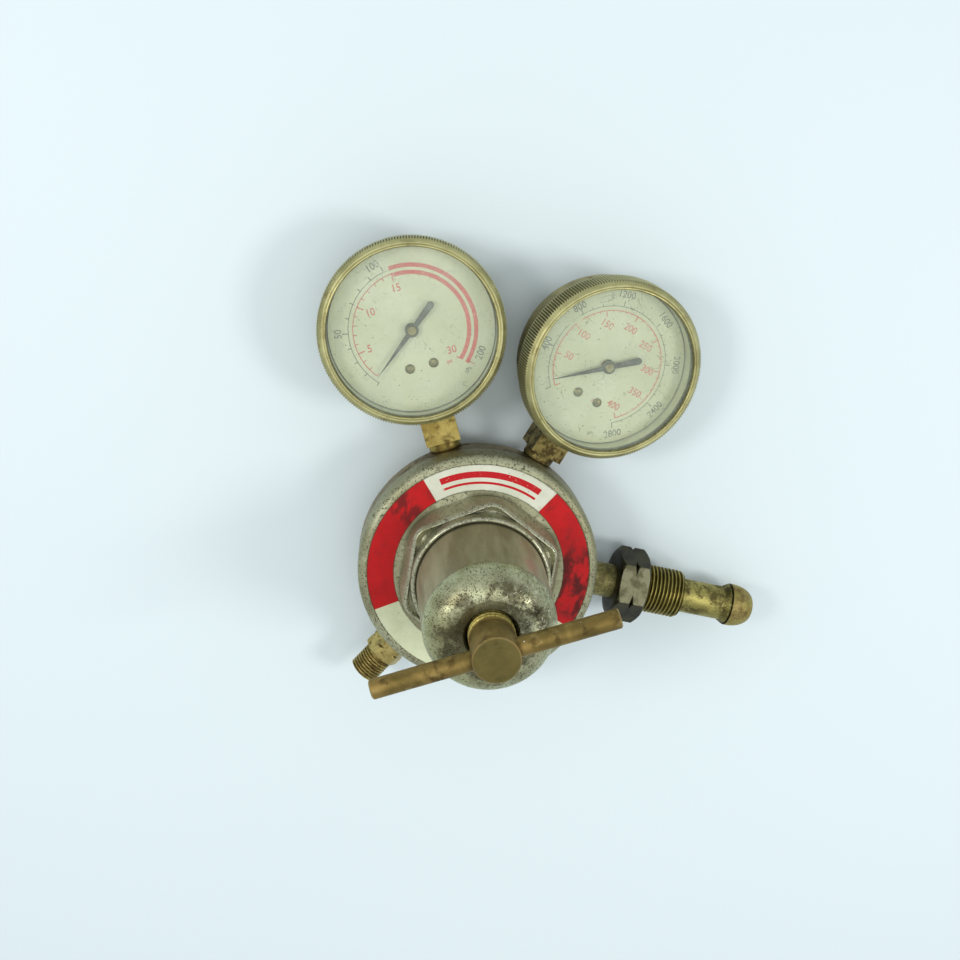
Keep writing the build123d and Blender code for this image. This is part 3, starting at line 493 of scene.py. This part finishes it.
def nipple_finish():
    """Brass nipple with a bright rubbed side, dark patina patches, and painted shade behind the nose: a
    black line in the groove and a darker flare.
    """
    mix = Finish("nipple_brass", metal=1.0)
    along = mix.about(INLET_CENTRE, INLET_WAY, UP)[1]
    broad = mix.cloud(10, detail=5, rough=0.62, warp=0.7)
    fine = mix.cloud(0.9, detail=5, rough=0.7, seed=3)
    colour = mix.blend(broad.rise(0.3, 0.7), paint(124, 116, 68), paint(178, 168, 100))
    patina = mix.cloud(6, detail=6, rough=0.68, seed=5).rise(0.46, 0.62)
    colour = mix.blend(patina * 0.75, colour, paint(84, 74, 52))
    back = along.rise(82, 76)
    colour = mix.blend(back * 0.7, colour, paint(118, 112, 78))
    nose = along.rise(123.5, 123.8)
    tarnished = mix.cloud(6, detail=5, seed=17).rise(0.4, 0.62)
    tarnished = mix.blend(tarnished, paint(168, 154, 94), paint(136, 116, 78))
    colour = mix.blend(nose * 0.75, colour, tarnished)
    # Painted shade: a black line in the groove behind the nose, and a darker flare behind it.
    line = abs(along - 123.25).rise(0.75, 0.35)
    flare = along.rise(119.4, 120.4) * (1 - nose)
    colour = mix.blend((line * 0.9).most(flare * 0.55), colour, paint(40, 34, 20))
    rubbed = fine.rise(0.5, 0.62) * (1 - patina)
    colour = mix.blend(rubbed * 0.35, colour, paint(214, 202, 130))
    rough = 0.32 + 0.2 * broad + 0.22 * patina + 0.1 * fine + 0.1 * nose
    bumps = mix.bump(fine * 0.8 + broad * 0.2, 0.08, 0.7)
    return mix.set(Base_Color=colour, Roughness=rough.clamped(), Normal=bumps)


def bezel_finish(gauge):
    """Aged yellow brass bezel: dark knurling, a painted highlight on the lip, a black line beside the glass
    and painted shade in the hollows.
    """
    mix = Finish(gauge.name + "_bezel_brass", metal=0.85)
    radius, height = mix.about(gauge.origin, gauge.z, gauge.x)[:2]
    broad = mix.cloud(15, detail=5, rough=0.6, seed=gauge.seed)
    fine = mix.cloud(1.3, detail=5, rough=0.7, seed=3)
    colour = mix.blend(broad.rise(0.3, 0.7), paint(152, 146, 100), paint(188, 184, 134))
    tarnish = mix.cloud(8, detail=6, rough=0.66, seed=7).rise(0.54, 0.72)
    colour = mix.blend(tarnish * 0.6, colour, paint(104, 84, 50))
    # Painted highlight: lighter and a little smoother on the lip and the shoulder beside it.
    lip = abs(radius - 37.0).rise(0.5, 0.1) * (height > 19.9)
    shoulder = abs(radius - 38.6).rise(0.5, 0.15) * (height > 20.2)
    painted_highlight = (lip + shoulder * 0.7).clamped() * mix.cloud(7, seed=2).rise(0.4, 0.6)
    colour = mix.blend(painted_highlight * 0.5, colour, paint(214, 204, 140))
    gaps = radius.rise(40.45, 39.95) * (height > 8.9) * (height < 19.2)
    colour = mix.blend(gaps * 0.4, colour, paint(126, 118, 82))
    flank = radius.rise(39.4, 39.7) * (height < 19.4)
    colour = mix.blend(flank * (1 - gaps) * 0.7, colour, paint(218, 214, 166))
    # Darker along the inner edge beside the glass, and painted shade with some grime in the hollows that
    # ambient occlusion finds.
    edge = radius.rise(36.9, 36.5) * (height > 19.4)
    grime_and_shade = (mix.hollow(1.2) * 1.3).clamped().most(edge * fine.rise(0.35, 0.55) * 0.6)
    colour = mix.blend(grime_and_shade * 0.8, colour, paint(46, 38, 22))
    speck = fine.rise(0.61, 0.7)
    colour = mix.blend(speck * 0.55, colour, paint(70, 56, 34))
    rough = 0.42 + 0.14 * broad + 0.16 * speck + 0.16 * grime_and_shade - 0.1 * painted_highlight
    return mix.set(Base_Color=colour, Roughness=rough.clamped(), Normal=mix.bump(fine, 0.05, 0.5))


def gauge_case_finish(gauge):
    """Old brass cup, painted cream inside above the dial."""
    mix = Finish(gauge.name + "_case_brass")
    radius, height = mix.about(gauge.origin, gauge.z, gauge.x)[:2]
    broad = mix.cloud(16, detail=5, rough=0.6, seed=9)
    fine = mix.cloud(1.1, detail=5, rough=0.7, seed=2)
    colour = mix.blend(broad.rise(0.3, 0.7), paint(128, 118, 78), paint(162, 152, 106))
    age = mix.cloud(9, detail=6, rough=0.66, seed=13).rise(0.52, 0.68)
    colour = mix.blend(age * 0.8, colour, paint(80, 66, 40))
    inside = (radius < 37.0) * (height > 8.0)
    enamel = mix.blend(broad.rise(0.35, 0.65), paint(190, 194, 158), paint(206, 208, 174))
    colour = mix.blend(inside, colour, enamel)
    rough = 0.36 + 0.16 * broad + 0.2 * age * (1 - inside)
    bumps = mix.bump(fine, 0.05, 0.4)
    return mix.set(Base_Color=colour, Roughness=rough.clamped(), Metallic=1 - inside, Normal=bumps)


def dial_finish(gauge, dirt):
    """Cream enamel, yellowed and freckled, darker round the rim."""
    mix = Finish(gauge.name + "_dial_enamel")
    radius = mix.about(gauge.origin, gauge.z, gauge.x)[0]
    broad = mix.cloud(26, detail=4, rough=0.55, seed=gauge.seed)
    colour = mix.blend(broad.rise(0.3, 0.7), paint(200, 205, 168), paint(216, 220, 186))
    rim = radius.rise(31.0, 36.0)
    colour = mix.blend(rim * (0.35 + 0.5 * broad), colour, paint(188, 190, 152))
    stain = mix.cloud(9, detail=6, rough=0.7, warp=0.8, seed=4).rise(0.66 - 0.08 * dirt, 0.84)
    colour = mix.blend(stain * (0.3 + 0.3 * dirt), colour, paint(126, 126, 92))
    crack = abs(mix.cloud(19, detail=3, warp=1.6, seed=8) - 0.5).rise(0.008, 0.0)
    patchy = mix.cloud(12, seed=10).rise(0.46, 0.58)
    colour = mix.blend(crack * patchy * 0.6 * dirt, colour, paint(96, 92, 64))
    freckle = (mix.dots(2.4, 3) < 0.13) * mix.cloud(8, seed=5).rise(0.54 - 0.1 * dirt, 0.62)
    crumbs = (mix.dots(1.1, 6) < 0.2) * radius.rise(20, 33)
    crumbs = crumbs * mix.cloud(6, seed=14).rise(0.52 - 0.04 * dirt, 0.62)
    colour = mix.blend((freckle + crumbs).clamped() * 0.8, colour, paint(72, 66, 44))
    rough = 0.5 + 0.1 * broad
    return mix.set(Base_Color=colour, Roughness=rough)


ENAMEL = paint(212, 214, 182)


def print_ink(name, ink, wear):
    """Dial ink that has rubbed thin in places."""
    mix = Finish(name)
    thin = mix.cloud(7, detail=6, rough=0.7, seed=6).rise(0.62 - wear * 0.3, 0.8 - wear * 0.3)
    grain = mix.cloud(0.7, detail=3, seed=2).rise(0.35, 0.7)
    colour = mix.blend((thin * 0.75 + grain * 0.2 + wear * 0.45).clamped(), ink, ENAMEL)
    return mix.set(Base_Color=colour, Roughness=0.55 + 0.1 * grain)


def label_finish():
    """Printed label ring: white top panel with plain red bands, red sides, cream foot, all scuffed."""
    mix = Finish("printed_label", Specular_IOR_Level=0.3)
    radius, _, angle = mix.about(BODY_CENTRE, UP, level_way(96))
    away = abs(angle)
    broad = mix.cloud(14, detail=5, rough=0.6)
    fine = mix.cloud(1.2, detail=5, rough=0.7, seed=3)
    white = mix.blend(broad.rise(0.3, 0.7), paint(206, 208, 186), paint(222, 222, 204))
    band = abs(radius - 45.4).rise(1.5, 1.4).most(abs(radius - 41.6).rise(0.6, 0.5))
    chips = fine.rise(0.62, 0.68) * 0.8
    white = mix.blend(band * away.rise(29.4, 29.0) * (1 - chips), white, paint(190, 18, 28))
    cream = mix.blend(broad.rise(0.35, 0.65), paint(196, 202, 164), paint(214, 218, 184))
    red = mix.blend(broad.rise(0.3, 0.7), paint(170, 8, 14), paint(198, 12, 20))
    sides = away.rise(36.3, 36.7) * away.rise(117.3, 116.9)
    colour = mix.blend(away.rise(100, 101), white, cream)
    colour = mix.blend(sides, colour, red)
    heel = angle.rise(-60, -78) * angle.rise(-116, -108) + angle.rise(44, 50) * angle.rise(66, 58) * 0.8
    scuff = mix.cloud(7, detail=4, rough=0.6, stretch=(1.6, 0.8, 1), seed=8).rise(0.4, 0.58)
    worn = mix.cloud(8, detail=5, rough=0.65, seed=15).rise(0.56, 0.74) * 0.6
    marks = (scuff * heel).most(worn * (0.35 + 0.5 * sides))
    colour = mix.blend(marks * 0.86, colour, paint(64, 28, 26))
    edge = abs(radius - 44.0).rise(5.2, 5.8) * fine.rise(0.4, 0.6)
    specks = (mix.dots(3.2, 4) < 0.07).most(edge * 0.7)
    colour = mix.blend(specks * 0.7, colour, paint(78, 70, 50))
    rough = 0.38 + 0.14 * broad + 0.25 * marks
    return mix.set(Base_Color=colour, Roughness=rough.clamped(), Normal=mix.bump(fine, 0.02, 0.4))


def window_finish():
    """Clear pane with a faint haze."""
    mix = Finish("gauge_window", IOR=1.5, Roughness=0.06)
    haze = mix.cloud(18, detail=5, rough=0.65, warp=0.4)
    spots = (mix.dots(4.0, 9) < 0.05) * 0.35
    alpha = 0.1 + 0.09 * haze.rise(0.4, 0.75) + spots
    mix.shader.inputs["Base Color"].default_value = (*paint(214, 224, 206), 1.0)
    return mix.set(Alpha=alpha.clamped())


def pointer_finish():
    """Thin black paint, greyed and rubbed."""
    mix = Finish("pointer_paint")
    broad = mix.cloud(6, detail=5, rough=0.65)
    colour = mix.blend(broad.rise(0.35, 0.65), paint(44, 48, 46), paint(86, 90, 84))
    rough = 0.45 + 0.2 * broad
    return mix.set(Base_Color=colour, Roughness=rough, Normal=mix.bump(broad, 0.02, 0.3))


def plain_metal(name, dark, light, rough):
    """Clean inner metal with fine turning marks."""
    mix = Finish(name, metal=1.0)
    broad = mix.cloud(7, detail=4)
    grain = mix.cloud(0.8, detail=3, stretch=(1, 1, 5), seed=2)
    colour = mix.blend(broad.rise(0.3, 0.7), dark, light)
    return mix.set(Base_Color=colour, Roughness=rough + 0.15 * grain, Normal=mix.bump(grain, 0.02, 0.3))


def soft_rubber(name, dark, light):
    """Rubber, slightly dusty."""
    mix = Finish(name)
    dust = mix.cloud(5, detail=5, rough=0.65)
    colour = mix.blend(dust.rise(0.45, 0.75), dark, light)
    return mix.set(Base_Color=colour, Roughness=0.7 + 0.15 * dust, Normal=mix.bump(dust, 0.04, 0.4))


# --- Finishes on the CAD pieces -------------------------------------------------------------------
body_brass = old_brass(
    "body_brass", paint(112, 98, 68), paint(152, 136, 98), paint(84, 72, 48), size=14
)
stem_brass = old_brass(
    "stem_brass", paint(148, 128, 70), paint(188, 168, 100), paint(100, 84, 50), share=0.55, size=7, seed=3
)
dark_stem_brass = old_brass(
    "dark_stem_brass", paint(112, 100, 62), paint(156, 140, 88), paint(70, 60, 40), share=0.8, size=7, seed=8
)
outlet_brass = old_brass(
    "outlet_brass", paint(150, 134, 84), paint(196, 178, 112), paint(108, 88, 56),
    share=0.55, size=5, grooves=0.6, seed=5,
)
dial_brass = old_brass("dial_brass", paint(112, 106, 72), paint(146, 138, 98), paint(90, 84, 58), size=4)
clean_brass = plain_metal("movement_brass", paint(176, 146, 74), paint(214, 186, 112), 0.3)
spring_steel = plain_metal("spring_steel", paint(118, 118, 122), paint(164, 164, 168), 0.32)
rubber = soft_rubber("black_rubber", paint(24, 24, 24), paint(62, 60, 56))
pale_rubber = soft_rubber("pale_rubber", paint(118, 122, 100), paint(158, 162, 136))
nickel = worn_nickel()
bronze = bronze_finish()
window = window_finish()
pointer_paint = pointer_finish()

node_finishes = {
    "regulator_body": body_brass,
    "nozzle": clean_brass,
    "valve_stem": clean_brass,
    "valve_spring": spring_steel,
    "diaphragm": rubber,
    "slip_ring": spring_steel,
    "diaphragm_plate": clean_brass,
    "range_spring": spring_steel,
    "spring_button": spring_steel,
    "spring_case": spring_case_finish(),
    "bonnet_ring": nickel,
    "label_ring": label_finish(),
    "adjusting_screw": bronze,
    "t_bar": bronze,
    "inlet_nipple": nipple_finish(),
    "inlet_filter": clean_brass,
    "inlet_nut": nut_finish(),
    "outlet_fitting": outlet_brass,
}
for gauge, stem, dirt in ((DELIVERY, stem_brass, 0.6), (SUPPLY, dark_stem_brass, 1.0)):
    own_finishes = {
        "socket": stem,
        "case": gauge_case_finish(gauge),
        "bezel": bezel_finish(gauge),
        "window": window,
        "gasket": pale_rubber,
        "dial": dial_finish(gauge, dirt),
        "dial_screws": dial_brass,
        "pointer": pointer_paint,
        "pointer_bush": dial_brass,
    }
    for part in ("bourdon_tube", "tube_tip", "movement_frame", "pinion_arbor", "sector_gear", "drag_link"):
        own_finishes[part] = clean_brass
    node_finishes.update({f"{gauge.name}_{part}": finish for part, finish in own_finishes.items()})

for name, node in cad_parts.items():
    node.data.materials.clear()
    node.data.materials.append(node_finishes[name])


def soften_edges(name, width):
    """Rounds the sharp edges of a CAD node by a little."""
    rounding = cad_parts[name].modifiers.new("rounded_edges", "BEVEL")
    rounding.width = width * MM
    rounding.segments = 2
    rounding.limit_method = "ANGLE"
    rounding.angle_limit = radians(40)


# --- Bonnet ring ----------------------------------------------------------------------------------
def make_bonnet_ring():
    """Skirt with a round shoulder, a recess for the label, and the drawn hexagon with its collar."""
    collar = 30.9
    rings = [(29.7, 50.1), (29.7, 53.3), (29.9, 53.8), (30.4, 54.0), (34.0, 54.0)]
    rings += arc_rings((50.6, 38.9), 3.4, 0, 62, 8)
    rings += [(42.25, 51.5), (42.5, 50.75), (42.6, 50.4), (42.6, 50.1), (42.5, 49.95), (42.1, 49.95)]
    rings += [(42.1, 38.05), (42.45, 38.05), (42.6, 38.0)]
    rings += [(42.62, hexagon(70.2, 29.0)), (42.95, hexagon(69.4, 26.0)), (43.8, hexagon(68.4, 21.0))]
    rings += [(47.5, hexagon(66.4, 12.0)), (50.4, hexagon(65.2, 9.5)), (51.7, hexagon(64.5, 8.5))]
    rings += [(52.6, hexagon(63.6, 7.8)), (53.2, hexagon(62.6, 7.2)), (53.45, hexagon(61.8, 6.8))]
    ridge = hexagon(61.3, 6.4)
    rings += [(53.4, ridge), (53.0, between(ridge, collar, 0.25)), (52.4, between(ridge, collar, 0.5))]
    rings += [(52.4, between(ridge, collar, 0.72)), (53.2, between(ridge, collar, 0.92))]
    rings += [(54.4, collar - 0.1), (55.6, collar - 0.3)]
    rings += arc_rings((29.4, 57.2), 1.3, 0, 90, 7)
    rings += [(58.4, 28.8), (58.1, 28.5), (57.6, 28.46), (38.7, 28.46), (38.7, 50.1)]
    mesh = turned_mesh("bonnet_ring_shell", BONNET_AXES, rings, 360, crease=50, turn=BONNET_TURN)
    link_piece("bonnet_ring_shell", mesh, nickel, "regulator", "nickel_plate", "bonnet_ring")


# --- Springs and diaphragm ------------------------------------------------------------------------
def make_yielding(name, finish, slot):
    """A copy of a spring or rubber piece, with its finish, set on the regulator in place of its CAD node."""
    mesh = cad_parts[name].data.copy()
    mesh.name = name + "_yielding"
    mesh.materials.clear()
    piece = link_piece(name + "_yielding", mesh, finish, "regulator", slot, name)
    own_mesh(piece)


# --- Nut and outlet with real threads -------------------------------------------------------------
def make_inlet_nut():
    """Bevelled hexagon with notched corners, and the outside left-hand thread."""
    start, shoulder, end = 66.4, 80.8, 99.3
    crest, root, bore = 11.24, 10.2, 8.25
    pitch = 25.4 / 14
    rings = [(start, bore), (start, 12.0)]
    rings += [(x, notched_hexagon(30.6, start, shoulder, x)) for x in steps_between(start, shoulder, 64)]
    rings += [(shoulder, 11.2)]
    steps = 112
    for step, x in enumerate(steps_between(shoulder + 0.05, end, steps)):
        faded = max(0, step - steps + 8) / 9
        rings.append((x, between(left_hand_thread(crest, pitch, x), root, faded)))
    rings += [(end, 8.9), (end - 0.6, bore)]
    mesh = turned_mesh("inlet_nut_thread", INLET_AXES, rings, 240, crease=38, turn=90 - INLET_TURN)
    finish = node_finishes["inlet_nut"]
    link_piece("inlet_nut_threaded", mesh, finish, "inlet_nut", "dark_brass", "inlet_nut")


def make_outlet():
    """Small notched hexagon, left-hand thread and the cone of the bore."""
    inner, start, shoulder, end = 44.0, 54.8, 65.6, 78.0
    crest, neck, bore = 7.14, 6.7, 2.8
    pitch = 25.4 / 18
    rings = [(inner, bore), (inner, neck), (start - 0.02, neck)]
    rings += [(x, notched_hexagon(15.9, start, shoulder, x)) for x in steps_between(start, shoulder, 48)]
    rings += [(shoulder, 6.6), (shoulder + 0.9, 6.4)]
    threaded = steps_between(shoulder + 1.0, end - 0.7, 104)
    rings += [(x, left_hand_thread(crest, pitch, x)) for x in threaded]
    rings += [(end - 0.2, 6.2), (end, 5.9), (end, 4.9), (end - 0.1, 4.75), (end - 3.2, bore)]
    mesh = turned_mesh("outlet_thread", OUTLET_AXES, rings, 180, crease=38, turn=90)
    link_piece("outlet_threaded", mesh, outlet_brass, "regulator", "fitting_brass", "outlet_fitting")


# --- Gauges ---------------------------------------------------------------------------------------
def make_bezel(gauge):
    """Screwed bezel: coin-edge knurling, a sloping face and a rolled lip over the glass."""
    teeth = 210

    def knurl(radius, depth):
        return lambda angle: radius - depth * abs((angle * teeth / 360 + 0.5) % 1 - 0.5) * 2

    rings = [(8.2, 37.9), (8.2, 39.5), (8.5, 39.9), (9.0, knurl(40.3, 0.4)), (9.5, knurl(40.6, 0.85))]
    rings += [(18.4, knurl(40.6, 0.85)), (19.1, knurl(40.55, 0.85)), (19.5, knurl(40.3, 0.6)), (19.7, 39.7)]
    rings += [(20.3, 39.1), (20.8, 38.7), (21.05, 38.4), (21.1, 38.1), (21.0, 37.75), (20.85, 37.5)]
    rings += [(20.95, 37.3), (21.05, 37.05), (20.98, 36.8), (20.7, 36.55), (20.3, 36.4), (19.8, 36.35)]
    rings += [(19.8, 37.9)]
    name = gauge.name + "_bezel"
    mesh = turned_mesh(name + "_knurled", gauge.axes(), rings, teeth * 4, crease=50)
    link_piece(name + "_knurled", mesh, node_finishes[name], "regulator", "bezel_brass", name)


def dial_point(clock, radius):
    """A point on a dial, clock degrees clockwise from the top."""
    return (radius * sin(radians(clock)), radius * cos(radians(clock)))


class Print:
    """Flat ink marks on a dial: strokes, arcs and numbers, all in one mesh."""

    def __init__(self, gauge, name, finish):
        self.gauge = gauge
        self.name = name
        self.finish = finish
        self.points = []
        self.faces = []

    def arc(self, radius, width, start, end):
        count = max(2, int(abs(end - start) / 1.5))
        first = len(self.points)
        for step in range(count + 1):
            clock = start + (end - start) * step / count
            self.points += [dial_point(clock, radius - width / 2), dial_point(clock, radius + width / 2)]
        for step in range(count):
            a = first + 2 * step
            self.faces.append((a, a + 2, a + 3, a + 1))

    def tick(self, clock, inner, outer, width):
        across = (cos(radians(clock)) * width / 2, -sin(radians(clock)) * width / 2)
        first = len(self.points)
        for radius, side in ((inner, -1), (inner, 1), (outer, 1), (outer, -1)):
            x, y = dial_point(clock, radius)
            self.points.append((x + across[0] * side, y + across[1] * side))
        self.faces.append((first, first + 1, first + 2, first + 3))

    def text(self, words, clock, radius, size, lean=0.0, squeeze=0.85):
        """Plain figures, centred on a point of the dial and leaning clockwise."""
        curve = bpy.data.curves.new("figures", "FONT")
        curve.body = words
        curve.size = size
        curve.align_x = "CENTER"
        curve.align_y = "CENTER"
        curve.offset = 0.012 * size
        curve.resolution_u = 3
        holder = bpy.data.objects.new("figures", curve)
        mesh = bpy.data.meshes.new_from_object(holder)
        x0, y0 = dial_point(clock, radius)
        first = len(self.points)
        c, s = cos(radians(lean)), sin(radians(lean))
        for v in mesh.vertices:
            x, y = v.co.x * squeeze, v.co.y
            self.points.append((x0 + x * c + y * s, y0 - x * s + y * c))
        self.faces += [tuple(first + i for i in face.vertices) for face in mesh.polygons]
        bpy.data.objects.remove(holder)
        bpy.data.meshes.remove(mesh)

    def link(self, height):
        mesh = bpy.data.meshes.new(self.name)
        axes = self.gauge.axes()
        mesh.from_pydata([axes @ Vector((x, y, height)) for x, y in self.points], [], self.faces)
        link_piece(self.name, mesh, self.finish, "regulator", "dial_face")


def figure_lean(clock):
    """Figures outside the scale stand on it, and are turned over where they would be upside down."""
    return clock if abs(clock) < 100 else clock - 180 * (1 if clock > 0 else -1)


RED_HEIGHT, GREY_HEIGHT = 10.66, 10.67  # just above the dial


def print_delivery_dial():
    """Low-pressure scale: red psi inside with a doubled arc over the top half, grey kPa outside."""
    red_ink = print_ink("delivery_red_ink", paint(204, 52, 60), 0.1)
    grey_ink = print_ink("delivery_grey_ink", paint(66, 74, 68), 0.3)
    red = Print(DELIVERY, "delivery_gauge_red_print", red_ink)
    grey = Print(DELIVERY, "delivery_gauge_grey_print", grey_ink)
    zero, per_psi, per_grey_step = -146.6, 9.43, 13.6

    def clock(psi):
        return zero + per_psi * psi

    red.arc(25.3, 0.36, clock(2), clock(15))
    for psi in range(2, 15):
        long = psi % 5 == 0
        red.tick(clock(psi), 25.3 - (3.0 if long else 1.5), 25.4, 0.5 if long else 0.36)
    for radius in (24.75, 27.85):
        red.arc(radius, 1.8, clock(15), clock(30))
    red.tick(clock(15), 22.0, 24.0, 0.4)
    red.tick(clock(30), 22.6, 24.2, 0.4)
    red.tick(clock(30) - 2, 28.0, 31.0, 0.4)
    for psi, radius, shift in ((5, 20.0, 0), (10, 19.2, 0), (15, 19.0, 0), (30, 19.4, -4)):
        red.text(str(psi), clock(psi) + shift, radius, 4.7, squeeze=0.9)
    red.text("psi", clock(30) + 9, 21.4, 2.6)
    grey.arc(27.3, 0.34, clock(1.45), -5)
    for step in range(1, 11):
        grey.tick(zero + per_grey_step * step, 27.2, 30.0 if step % 5 == 0 else 28.9, 0.46)
    for kpa, at in ((50, -78.4), (100, -16.5), (200, 124.0)):
        grey.text(str(kpa), at, 31.6, 4.6, lean=figure_lean(at), squeeze=0.9)
    grey.text("kPa", 141, 30.2, 2.7, lean=-40)
    red.link(RED_HEIGHT)
    grey.link(GREY_HEIGHT)


def print_supply_dial():
    """Cylinder-pressure scale: red psi inside, grey kPa outside."""
    red_ink = print_ink("supply_red_ink", paint(208, 84, 78), 0.36)
    grey_ink = print_ink("supply_grey_ink", paint(84, 92, 84), 0.35)
    red = Print(SUPPLY, "supply_gauge_red_print", red_ink)
    grey = Print(SUPPLY, "supply_gauge_grey_print", grey_ink)
    zero, per_psi, per_kpa = -138.7, 0.69, 0.1

    def clock(psi):
        return zero + per_psi * psi

    red.arc(25.0, 0.44, clock(0), clock(400))
    for psi in range(0, 401, 10):
        long = psi % 50 == 0
        red.tick(clock(psi), 25.0 - (2.6 if long else 1.0), 25.1, 0.5 if long else 0.3)
    for psi in range(50, 401, 50):
        red.text(str(psi), clock(psi), 18.9, 4.5, squeeze=0.95)
    red.text("psi", 168, 16.5, 2.5)
    grey.arc(27.0, 0.3, clock(0), clock(406))
    for kpa in range(0, 2801, 100):
        long = kpa % 400 == 0
        grey.tick(zero + per_kpa * kpa, 27.0, 29.5 if long else 28.0, 0.4 if long else 0.26)
    for kpa in range(400, 2801, 400):
        at = zero + per_kpa * kpa
        grey.text(str(kpa), at, 30.6 if kpa < 1000 else 32.3, 4.5, lean=figure_lean(at), squeeze=0.92)
    grey.text("kPa", 160, 31.6, 2.5, lean=-20)
    red.link(RED_HEIGHT)
    grey.link(GREY_HEIGHT)


make_bonnet_ring()
make_yielding("range_spring", spring_steel, "spring_steel")
make_yielding("valve_spring", spring_steel, "spring_steel")
make_yielding("diaphragm", rubber, "diaphragm_rubber")
make_inlet_nut()
make_outlet()
for gauge in (DELIVERY, SUPPLY):
    make_bezel(gauge)
    soften_edges(gauge.name + "_socket", width=0.45)
print_delivery_dial()
print_supply_dial()


# --- Camera, floor and light ----------------------------------------------------------------------
def make_camera():
    data = bpy.data.cameras.new("camera")
    data.sensor_width = 36
    data.lens = 47.25
    data.clip_start = 0.01
    camera = bpy.data.objects.new("camera", data)
    right = Vector((0.97031, 0.23064, 0.07277))
    up = Vector((-0.20153, 0.93741, -0.28398))
    back = right.cross(up)
    rows = Matrix((right, up, back)).transposed().to_4x4()
    camera.matrix_world = Matrix.Translation((-0.0831, 0.1856, 0.5694)) @ rows
    bpy.context.scene.collection.objects.link(camera)
    bpy.context.scene.camera = camera


def make_floor():
    """Pale, faintly glossy bench top."""
    mix = Finish("pale_bench_top", Roughness=0.6, Specular_IOR_Level=0.25)
    tone = mix.cloud(400, detail=2)
    mix.set(Base_Color=mix.blend(tone, paint(224, 236, 240), paint(228, 239, 243)))
    mesh = bpy.data.meshes.new("bench_top")
    size = 3.0
    corners = [(-size, -size, 0), (size, -size, 0), (size, size, 0), (-size, size, 0)]
    mesh.from_pydata(corners, [], [(0, 1, 2, 3)])
    floor = bpy.data.objects.new("bench_top", mesh)
    mesh.materials.append(mix.material)
    bpy.context.scene.collection.objects.link(floor)


def make_lamp(name, place, size, power, tint):
    """Rectangular lamp that points at the middle of the object."""
    data = bpy.data.lights.new(name, "AREA")
    data.shape = "RECTANGLE"
    data.size, data.size_y = size
    data.energy = power
    data.color = tint
    lamp = bpy.data.objects.new(name, data)
    lamp.location = place
    toward = Vector((0, 0.03, 0.03)) - Vector(place)
    lamp.rotation_euler = toward.to_track_quat("-Z", "Y").to_euler()
    bpy.context.scene.collection.objects.link(lamp)


def make_light():
    world = bpy.data.worlds.new("pale_room")
    world.use_nodes = True
    air = world.node_tree.nodes["Background"]
    air.inputs["Color"].default_value = (0.92, 0.98, 1.0, 1.0)
    air.inputs["Strength"].default_value = 0.64
    bpy.context.scene.world = world
    warm, cool = (1.0, 0.99, 0.96), (0.97, 0.99, 1.0)
    make_lamp("left_panel", (-0.6, 0.12, 0.8), (0.22, 0.22), 2.3, warm)
    make_lamp("right_panel", (0.6, 0.15, 0.8), (0.22, 0.22), 2.3, warm)
    make_lamp("top_panel", (0.0, 0.12, 1.3), (0.7, 0.4), 2.0, cool)


make_camera()
make_floor()
make_light()
bpy.context.scene.view_settings.view_transform = "Standard"
